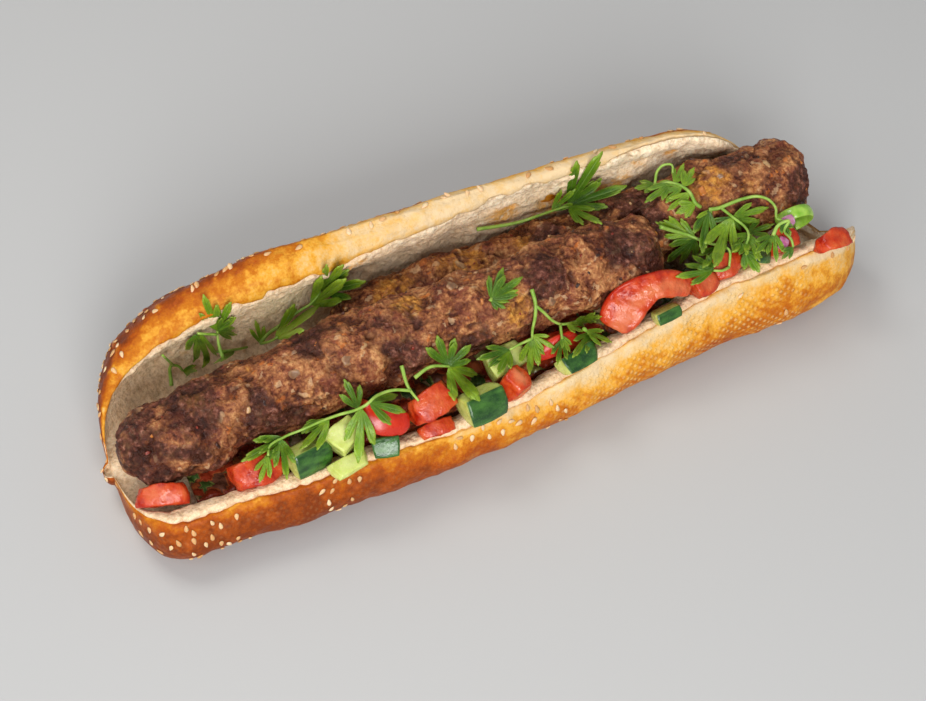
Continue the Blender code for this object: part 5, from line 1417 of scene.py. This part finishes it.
# Each sprig: its stems, as lists of (u, v), and its leaflets, as (u, v) of the base and of the tip and a
# width. A stem that starts on an earlier one branches off it.
PARSLEY = (
    (
        (
            ((-110, -8.2), (-110.1, -1.2), (-108.1, -1.5), (-107, -3.1)),
            ((-110.1, -1.2), (-111.3, 2.3)),
        ),
        (
            (-107.3, -2.7, -99.9, -3.1, 4.2),
        ),
    ),
    (
        (
            ((-91.3, 1.2), (-92.3, 3.8), (-92.8, 5.5), (-93.5, 10.6)),
            ((-92.3, 3.8), (-87.5, 4.4), (-84.9, 5.1)),
            ((-92.3, 3.8), (-96.3, 3.6)),
            ((-93.6, 9.8), (-96.6, 9.5), (-99.4, 9.7)),
        ),
        (
            (-93.5, 10.6, -96.6, 22.7, 6.5), (-93.5, 10.6, -86.9, 21.4, 4.5),
            (-93.5, 10.6, -87.2, 9.3, 4.5), (-93.5, 10.6, -86.9, 15.1, 3.9),
            (-98.3, 9.6, -98.6, -3.1, 6.2), (-99.4, 9.7, -102.8, -0.4, 5.1), (-88.1, 4.3, -93.7, -0.6, 3.1),
        ),
    ),
    (
        (
            ((-80.1, 6.3), (-79, 8.2), (-73, 13.1), (-67.1, 17.5), (-62.3, 20.5), (-58.9, 24.5)),
            ((-80.1, 6.3), (-75.9, 7.2), (-73.2, 8.5)),
        ),
        (
            (-62.9, 20.1, -49, 29, 11.3), (-59.1, 24.3, -48.6, 33.9, 5.4), (-58.9, 24.5, -41.2, 27.9, 4.5),
            (-74, 8.1, -59.2, 20, 5.4), (-79.9, 6.7, -81.6, 15.2, 2.8),
        ),
    ),
    (
        (
            ((-4.5, 46.7), (11, 49.6), (22.5, 53.7), (29.1, 55.9)),
        ),
        (
            (28.4, 55.7, 39.2, 73.1, 10.2), (28.7, 55.8, 47.8, 61.7, 8.7), (28.4, 55.7, 39.2, 46.8, 7.3),
            (22.5, 53.7, 30.5, 61.1, 5.1),
        ),
    ),
    (
        (
            ((-0.3, 20.4), (0.2, 21.6)),
        ),
        (
            (0, 21, 4.3, 32.7, 4.3), (0, 21.1, 11.6, 29.1, 4.7), (-0.1, 21, 9, 24, 2.7),
            (-0.2, 20.7, 4.9, 18.1, 4),
        ),
    ),
    (
        (
            ((-29.9, -1.2), (-27.5, -8.5), (-24.1, -12.8)),
            ((-27.3, -9.1), (-32.4, -9.2), (-38, -11.1), (-41.3, -14), (-44.1, -15.4), (-50.5, -17.3),
             (-56.4, -19.5), (-62.9, -22.4), (-68.4, -24.6), (-73.5, -28.4), (-73.5, -30.7)),
        ),
        (
            (-43.9, -15.3, -48.9, -5.2, 8), (-40.3, -13.1, -26.8, -17.1, 10.4),
            (-43, -14.9, -44.2, -33.1, 8.4), (-53.1, -18.3, -64.2, -29.7, 5.2),
            (-56.4, -19.5, -63.4, -23.7, 3.6), (-69.9, -25.7, -66.6, -38.3, 4.8),
            (-73.5, -30.7, -76.5, -40.3, 3), (-69.1, -25.1, -76.4, -29.9, 2.4),
            (-68.9, -25, -81.6, -32.2, 2),
        ),
    ),
    (
        (
            ((-25.6, -5.2), (-20.5, -1.6), (-13.2, -1.4)),
        ),
        (
            (-14.6, -1.4, -18.4, 10.1, 10.9), (-13.9, -1.4, -6.4, 6.4, 8.7),
            (-14.3, -1.4, -4.5, -12.5, 12.4),
        ),
    ),
    (
        (
            ((13.7, 24.5), (15, 19.6), (14.9, 15), (14.1, 10.7), (14.2, 6.9)),
            ((15, 19.6), (17.9, 16.8), (21, 14.1), (24, 12.9), (26.2, 13.1), (29.2, 13.9), (32.1, 14.7)),
            ((14.2, 8.4), (11.9, 7), (9.7, 6), (6.4, 4.2)),
            ((24, 12.9), (24.1, 9.4), (24.4, 7.8)),
        ),
        (
            (6.7, 4.4, -6.3, 0.6, 4), (6.4, 4.2, 2.6, -3.8, 6.3), (14.2, 7.5, 12.7, -5, 6.3),
            (14.2, 7.8, 16.6, -2.4, 2), (14.2, 9.0, 22.1, 4.7, 3.7), (24.1, 9.4, 26.8, 3.1, 2.5),
            (24.3, 8.1, 22, -2.1, 3), (26.2, 13.1, 32.1, 10.3, 3.2), (31.8, 14.6, 38, 15.6, 1.8),
            (29.2, 13.9, 35.3, 14.2, 1.3),
        ),
    ),
    (
        (
            ((31.9, 11.3), (33.8, 10.3), (35.4, 9.9)),
        ),
        (
            (32.7, 10.9, 41.6, 6.8, 3), (34.6, 10.1, 27.3, 1.8, 3.7),
        ),
    ),
    (
        (
            ((59.2, 46.9), (63.4, 45.9), (69.4, 44.5), (75.5, 41.9), (83.1, 38.8), (82.9, 32.8)),
            ((82.9, 32.8), (80.4, 31.6), (77.2, 31.6)),
        ),
        (
            (72, 43.4, 60.5, 49.5, 7), (72.6, 43.1, 68.3, 36.5, 8), (77.8, 31.6, 70.4, 37.5, 7),
            (77.4, 31.6, 63.8, 29.4, 4.8), (79.9, 40.1, 72.6, 31.8, 4.5), (72.5, 43.3, 61.4, 34.6, 8),
            (69.4, 44.5, 56.9, 48.9, 5.5),
        ),
    ),
    (
        (
            ((74, 54.3), (72.1, 55.5), (70.2, 59.4), (67.9, 61.5), (63.8, 63.1), (58.1, 62.6),
             (54.2, 63.6)),
            ((58.1, 62.6), (59.7, 67.9), (61.3, 69.5), (64.5, 69.7), (64.7, 66.2)),
        ),
        (
            (58.1, 62.6, 51.4, 61.5, 5.5), (67.5, 61.7, 55.9, 58.4, 8.5), (64.7, 62.8, 69.4, 70.8, 3.3),
            (68.1, 61.4, 72.5, 68.9, 6), (72.6, 55.2, 64.7, 51.8, 6.5), (70.2, 59.4, 61.8, 52.4, 6),
            (63.8, 63.1, 54.7, 56, 5),
        ),
    ),
    (
        (
            ((77, 53.4), (80.9, 54.1), (83.3, 55.1), (89.2, 57.3), (94.6, 58.1), (98.2, 56.7),
             (100.2, 53.9), (100.4, 49.9), (102.3, 49.3)),
            ((80.9, 54.1), (85, 51), (90.1, 45.5), (88.6, 38.7)),
        ),
        (
            (78.1, 53.6, 71.7, 45, 5), (85, 51, 76.3, 44.9, 6), (85.1, 50.8, 77, 32.6, 10),
            (85, 51, 98.3, 54.3, 6), (90.1, 45.5, 100.1, 48.5, 7), (89, 40.5, 83.8, 37.9, 4),
            (88.7, 39.2, 93.4, 31.4, 8), (90.1, 45.5, 83.3, 37.7, 8), (77, 53.4, 74, 38.1, 8),
            (90.1, 45.5, 93.1, 33.7, 5), (85, 51, 93.6, 47, 6),
        ),
    ),
    (
        (
            ((98.7, 44), (100.6, 47.7), (104.3, 49.1), (102.5, 45.6), (104.9, 42.7), (105.7, 40)),
        ),
        (
            (102, 48.2, 104.6, 43.7, 5.5), (99, 44.6, 99.2, 34.1, 4), (98.7, 44, 90.4, 36.7, 3),
            (105.7, 40.1, 101.6, 35.7, 4.3),
        ),
    ),
)


# %% The plane and its cover
def plane_axes():
    """The slanting plane's right, up and outward directions."""
    a, e = math.radians(PLANE_TURN), math.radians(PLANE_TILT)
    right = np.array([math.cos(a), math.sin(a), 0.0])
    out = np.array([math.sin(a) * math.cos(e), -math.cos(a) * math.cos(e), math.sin(e)])
    return np.stack([right, np.cross(out, right), out])


def lay_on(cover, points):
    """Raises the cover, in cells of 1 mm, to the height of any point that stands above it."""
    u, v, height = plane_axes() @ points.T
    i = np.clip(u - COVER_LOW[0], 0, COVER_CELLS[0] - 1).astype(int)
    j = np.clip(v - COVER_LOW[1], 0, COVER_CELLS[1] - 1).astype(int)
    np.maximum.at(cover, (i, j), height)


def loosen(cover, times):
    """The cover as a loose cloth: never below any cell beside it, with its dips filled a little."""
    touched = cover
    for axis in (0, 1):
        touched = np.maximum(touched, np.maximum(np.roll(touched, 1, axis), np.roll(touched, -1, axis)))
    loose = touched
    for _ in range(times):
        around = sum(np.roll(loose, way, axis) for way, axis in ((1, 0), (-1, 0), (1, 1), (-1, 1)))
        loose = np.maximum((loose * 2 + around) / 6, touched)
    return loose


def read_cover(cover, u, v):
    """The cover's height at any places, in between those of the four nearest cells."""
    i = np.clip(np.asarray(u) - COVER_LOW[0] - 0.5, 0, COVER_CELLS[0] - 1.001)
    j = np.clip(np.asarray(v) - COVER_LOW[1] - 0.5, 0, COVER_CELLS[1] - 1.001)
    a, b = i.astype(int), j.astype(int)
    p, q = i - a, j - b
    low = cover[a, b] * (1 - p) + cover[a + 1, b] * p
    high = cover[a, b + 1] * (1 - p) + cover[a + 1, b + 1] * p
    return low * (1 - q) + high * q


# %% [markdown]
# A leaflet is a fan: its points are found by how far out they are from the base and in which direction.
# The rim's distance depends on the direction. It is the farthest of three rounded lobes, each with teeth.
# The stored values say how near a rib and how near the rim each point is, for the finish.

# %% The leaflets
# Each lobe: its direction from -1 to 1, how far it reaches and how wide it is.
LOBES = ((0.0, 1.0, 0.37), (-0.64, 0.84, 0.34), (0.64, 0.84, 0.34))
FAN_HALF_ANGLE = math.radians(62.0)
LEAF_THICK = 0.28
# Leaflets longer than this have narrower lobes.
LONG_LEAF = 9.0
RIB_DEPTH = 0.35
RIPPLE = 0.35


def leaf_rim(way, rng, narrow):
    """How far the rim is from the base in each direction, and how far the direction is off its lobe's rib.
    Each lobe narrows as a power of that, and its teeth are arches of a cosine."""
    far = np.full_like(way, 0.22)
    rib = np.ones_like(way)
    for at, reach, width in LOBES:
        off = (way - at - rng.uniform(-0.03, 0.03)) / (width * narrow)
        teeth = np.abs(np.cos(math.pi * off * 1.5))
        lobe = reach * rng.uniform(0.88, 1.06) * (1 - 0.5 * np.abs(off) ** 2.2)
        lobe = lobe * (0.87 + 0.13 * teeth**0.6)
        rib = np.where(lobe > far, np.abs(off), rib)
        far = np.maximum(far, lobe)
    return far, rib


def there_and_back(value):
    """A leaflet's values on its upper face and then, in the other direction, on its lower."""
    return np.concatenate([value, value[:, ::-1]], 1)


def leaf_grid(leaf, root, loose, rng, rings=8, ways=45):
    """A leaflet's closed grid: for each direction, out along its upper face and back along its lower. Its
    height is the plane that lies best on the cover, bent as a square and cupped, rippled by a cosine,
    lifted clear of the cover, and grooved along its ribs."""
    u0, v0, u1, v1, width = leaf
    base, tip = np.array([u0, v0]), np.array([u1, v1])
    along = tip - base
    length = np.linalg.norm(along)
    side = np.array([along[1], -along[0]]) / length
    way = np.linspace(-1, 1, ways)
    far, rib = leaf_rim(way, rng, 1.0 if length < LONG_LEAF else 0.78)
    out = np.linspace(0.03, 1, rings)[None]
    ahead = far[:, None] * out * np.cos(way * FAN_HALF_ANGLE)[:, None]
    across = far[:, None] * out * np.sin(way * FAN_HALF_ANGLE)[:, None]
    across = across / np.abs(across).max() * max(width, 0.6 * length) / 2
    flat = base + ahead[..., None] * along + across[..., None] * side
    below = read_cover(loose, flat[..., 0], flat[..., 1])
    terms = np.stack([ahead.ravel(), across.ravel(), np.ones(ahead.size)], -1)
    best = np.linalg.lstsq(terms, below.ravel(), rcond=None)[0]
    plane = best[0] * ahead + best[1] * across + best[2]
    lift = rng.uniform(0.5, 1.3)
    bend, cup = rng.uniform(-0.5, 3.2), rng.uniform(-0.05, 0.14)
    height = plane + lift + bend * ahead**2 + cup * np.abs(across)
    height += RIPPLE * np.cos(way * 17 + bend)[:, None] * out**2
    height = np.maximum(height, below + 0.3)
    # Near its base the leaflet comes down to the stem.
    hold = np.clip(1 - ahead, 0, 1) ** 3
    height = height * (1 - hold) + root * hold
    height -= RIB_DEPTH * np.exp(-((rib[:, None] / 0.16) ** 2)) * out * (1 - 0.5 * out)
    thick = LEAF_THICK * (1 - out**4) * np.minimum(1, (1 - np.abs(way)) * 9)[:, None] / 2 + 0.02
    sheet = np.stack([flat[..., 0], flat[..., 1], height], -1)
    up = np.array((0, 0, 1.0)) * thick[..., None]
    grid = np.concatenate([sheet + up, (sheet - up)[:, ::-1]], 1)
    values = {
        "rib": there_and_back(np.repeat(rib[:, None], rings, 1)),
        "out": there_and_back(np.repeat(out, ways, 0)),
        "tone": np.full(grid.shape[:2], rng.uniform()),
    }
    return grid @ plane_axes(), values


# %% [markdown]
# A stem is springy too: it bridges hollows and rests on what stands highest. Its middle line is found like a
# taut string over the cover, and a circle is carried along it. Branches start on the stem that they leave.

# %% The stems
# The radius of a sprig's first stem, of its branches and of both at their far ends.
STEM_RADII = (0.72, 0.55, 0.42)


def stem_line(points, loose, earlier):
    """A stem's middle line (u, v, height) about every millimetre, bridging the hollows below it as a taut
    string would: each point is raised to the mean of its neighbours until none has to rise."""
    keys = np.array(points, float)
    start = nearest_on(earlier, keys[0]) if earlier else None
    if earlier:
        keys[0] = start[:2]
    far = np.concatenate([[0], np.cumsum(np.linalg.norm(np.diff(keys, axis=0), axis=1))])
    places = np.linspace(0, far[-1], max(5, int(far[-1])))
    flat = spline(np.column_stack([far, keys]), places)
    touch = read_cover(loose, *flat.T) + 0.9
    taut = touch.copy()
    for _ in range(60):
        taut[1:-1] = np.maximum(touch[1:-1], (taut[:-2] + taut[2:]) / 2)
    if earlier:
        taut += (start[2] - taut[0]) * np.linspace(1, 0, len(taut)) ** 2
    return np.column_stack([flat, taut])


def nearest_on(lines, spot):
    """The point (u, v, height) of the stems' middle lines that is nearest to a place on the plane."""
    every = np.concatenate(lines)
    return every[np.linalg.norm(every[:, :2] - spot, axis=1).argmin()]


def stem_grid(line, thick, thin, around=8):
    """Circles carried along a middle line, from thick at the start to thin at the end."""
    ahead = np.gradient(line, axis=0)
    ahead /= np.linalg.norm(ahead, axis=1, keepdims=True)
    side = np.cross(ahead, (0, 0, 1.0))
    side /= np.linalg.norm(side, axis=1, keepdims=True)
    up = np.cross(side, ahead)
    turn = np.linspace(0, 2 * math.pi, around, endpoint=False)[None, :, None]
    radius = np.linspace(thick, thin, len(line))[:, None, None]
    circle = side[:, None] * np.cos(turn) + up[:, None] * np.sin(turn)
    return (line[:, None] + radius * circle) @ plane_axes()


# %% [markdown]
# A sprig is one mesh, so that it moves as one piece. The sprigs are laid down in their order, and
# each is added to the cover, so that a later one lies on top.


# %% The sprigs
def make_sprig(number, stems, leaves, cover):
    """A sprig's stems and leaflets as one mesh, which is then part of the cover for the next."""
    rng = np.random.default_rng(300 + number)
    loose = loosen(cover, 6)
    lines, grids = [], []
    for stem in stems:
        lines.append(stem_line(stem, loose, lines))
        thick = STEM_RADII[0] if len(lines) == 1 else STEM_RADII[1]
        grid = stem_grid(lines[-1], thick, STEM_RADII[2])
        blank = np.zeros(grid.shape[:2])
        grids.append((grid, {"rib": blank - 1, "out": blank, "tone": blank + rng.uniform()}))
    for leaf in leaves:
        root = nearest_on(lines, leaf[:2])
        grids.append(leaf_grid((*root[:2], *leaf[2:]), root[2], loose, rng))
    points, quads, fans, values = [], [], [], {"rib": [], "out": [], "tone": []}
    total = 0
    for grid, stored in grids:
        some, faces, caps, more = closed_grid(grid, stored)
        points.append(some)
        quads.append(faces + total)
        fans.append(caps + total)
        total += len(some)
        for key, rows in values.items():
            rows.append(more[key])
    points, quads, fans = (np.concatenate(parts) for parts in (points, quads, fans))
    lay_on(cover, points)
    values = {key: np.concatenate(rows) for key, rows in values.items()}
    return put_mesh(f"parsley_sprig_{number + 1:02d}", points, quads, fans, values)


def parsley_finish():
    """Greens by leaflet, paler at the rim, on the ribs and on their branches, and stems of pale green."""
    f = Finish("parsley", 0.42, Specular_IOR_Level=0.4, Subsurface_Weight=0.25, Subsurface_Scale=0.002,
               Subsurface_Radius=(0.5, 1.0, 0.15))
    rib, out = f.stored("rib"), f.stored("out")
    shade = f.sum(f.times(f.noise(5.0), 0.6), f.times(f.stored("tone"), 0.4))
    green = f.ramp(shade, (0.25, (0.028, 0.085, 0.003)), (0.5, (0.090, 0.195, 0.007)),
                   (0.75, (0.22, 0.36, 0.015)))
    green = f.blend(f.times(f.band(out, 0.72, 1.0), 0.5), green, (0.26, 0.42, 0.03))
    # Branches leave the rib slantwise, six of them from the base to the rim.
    slant = f.math("FRACT", f.sum(f.times(out, 6.0), f.times(rib, -3.0)))
    branch = f.times(f.band(slant, 0.14, 0.04), f.band(out, 0.15, 0.3))
    vein = f.times(f.band(rib, 0.11, 0.03), f.band(out, 1.0, 0.7))
    green = f.blend(f.times(branch, 0.35), green, (0.20, 0.38, 0.06))
    green = f.blend(f.times(vein, 0.6), green, (0.30, 0.46, 0.12))
    # Stems are where the stored rib is -1.
    stem = f.ramp(f.noise(4.0, 2.0), (0.3, (0.17, 0.32, 0.03)), (0.7, (0.36, 0.52, 0.10)))
    colour = f.blend(f.band(rib, -0.4, -0.6), green, stem)
    grooves = f.sum(f.times(branch, -1.0), f.times(vein, -1.5), f.noise(0.9, 2.0))
    return f.done(colour, f.bump(grooves, 0.12))


def table_points(piece):
    """A piece's points in table millimetres."""
    flat = np.empty(len(piece.data.vertices) * 3, np.float32)
    piece.data.vertices.foreach_get("co", flat)
    return flat.reshape(-1, 3).astype(float) / MM - CENTRING


cover = np.full(COVER_CELLS, COVER_BOTTOM)
for piece in MADE:
    lay_on(cover, table_points(piece))
parsley = parsley_finish()
for number, (stems, leaves) in enumerate(PARSLEY):
    show(make_sprig(number, stems, leaves, cover), parsley, "parsley", f"parsley_{number + 1:02d}")

# %% [markdown]
# ## Camera, light and floor
# The camera looks along the same direction as the slanting plane of the parsley, through a long lens from
# three quarters of a metre away. A strong soft lamp low in front lights the crust and the cut faces, a broad
# one at the left and a small one high behind draw the edges of the lumps, and a pale sky gives the rest.
# Lamps could also be planes that glow, but area lamps make less noise.

# %% The camera
CAMERA_DISTANCE = 0.756
LENS_MM = 85.0
FILM_MM = 36.0
LOOK_AT = Vector((-0.01265, -0.01047, 0.026))


def direction(turn, tilt):
    """The way from the sandwich to something that stands turn degrees aside and tilt degrees up."""
    a, e = math.radians(turn), math.radians(tilt)
    return Vector((math.sin(a) * math.cos(e), -math.cos(a) * math.cos(e), math.sin(e)))


def aim(thing, turn, tilt, far):
    """Puts a camera or a lamp far metres away in a direction, looking back at the sandwich."""
    back = direction(turn, tilt)
    thing.location = LOOK_AT + back * far
    thing.rotation_euler = (-back).to_track_quat("-Z", "Y").to_euler()
    bpy.context.scene.collection.objects.link(thing)


lens = bpy.data.cameras.new("camera")
lens.lens = LENS_MM
lens.sensor_width = FILM_MM
camera = bpy.data.objects.new("camera", lens)
aim(camera, PLANE_TURN, PLANE_TILT, CAMERA_DISTANCE)
bpy.context.scene.camera = camera

# %% The lamps and the sky
# Each lamp: its turn and tilt in degrees, distance and side in metres, watts and colour.
LAMPS = {
    "window": (-140, 64, 0.9, 0.35, 2.4, (1.0, 0.97, 0.93)),
    "fill": (-70, 38, 1.2, 0.9, 3.4, (1.0, 1.0, 1.0)),
    "front": (-14, 30, 1.3, 0.6, 15.0, (1.0, 1.0, 1.0)),
}
SKY_COLOUR = (0.97, 0.98, 1.0, 1.0)
SKY_STRENGTH = 0.38

for name, (turn, tilt, far, side, watts, colour) in LAMPS.items():
    light = bpy.data.lights.new(name, "AREA")
    light.size = side
    light.energy = watts
    light.color = colour
    aim(bpy.data.objects.new(name, light), turn, tilt, far)

world = bpy.data.worlds.new("studio")
world.use_nodes = True
sky = world.node_tree.nodes["Background"]
sky.inputs["Color"].default_value = SKY_COLOUR
sky.inputs["Strength"].default_value = SKY_STRENGTH
bpy.context.scene.world = world
bpy.context.scene.view_settings.view_transform = "Standard"

# %% The floor
FLOOR_HALF = 12.0
FLOOR_COLOUR = (0.50, 0.50, 0.495)

corners = [(-FLOOR_HALF, -FLOOR_HALF, 0), (FLOOR_HALF, -FLOOR_HALF, 0),
           (FLOOR_HALF, FLOOR_HALF, 0), (-FLOOR_HALF, FLOOR_HALF, 0)]
plain = bpy.data.meshes.new("floor")
plain.from_pydata(corners, [], [(0, 1, 2, 3)])
plain.materials.append(Finish("floor", 0.75).done(FLOOR_COLOUR))
floor = bpy.data.objects.new("floor", plain)
bpy.context.scene.collection.objects.link(floor)
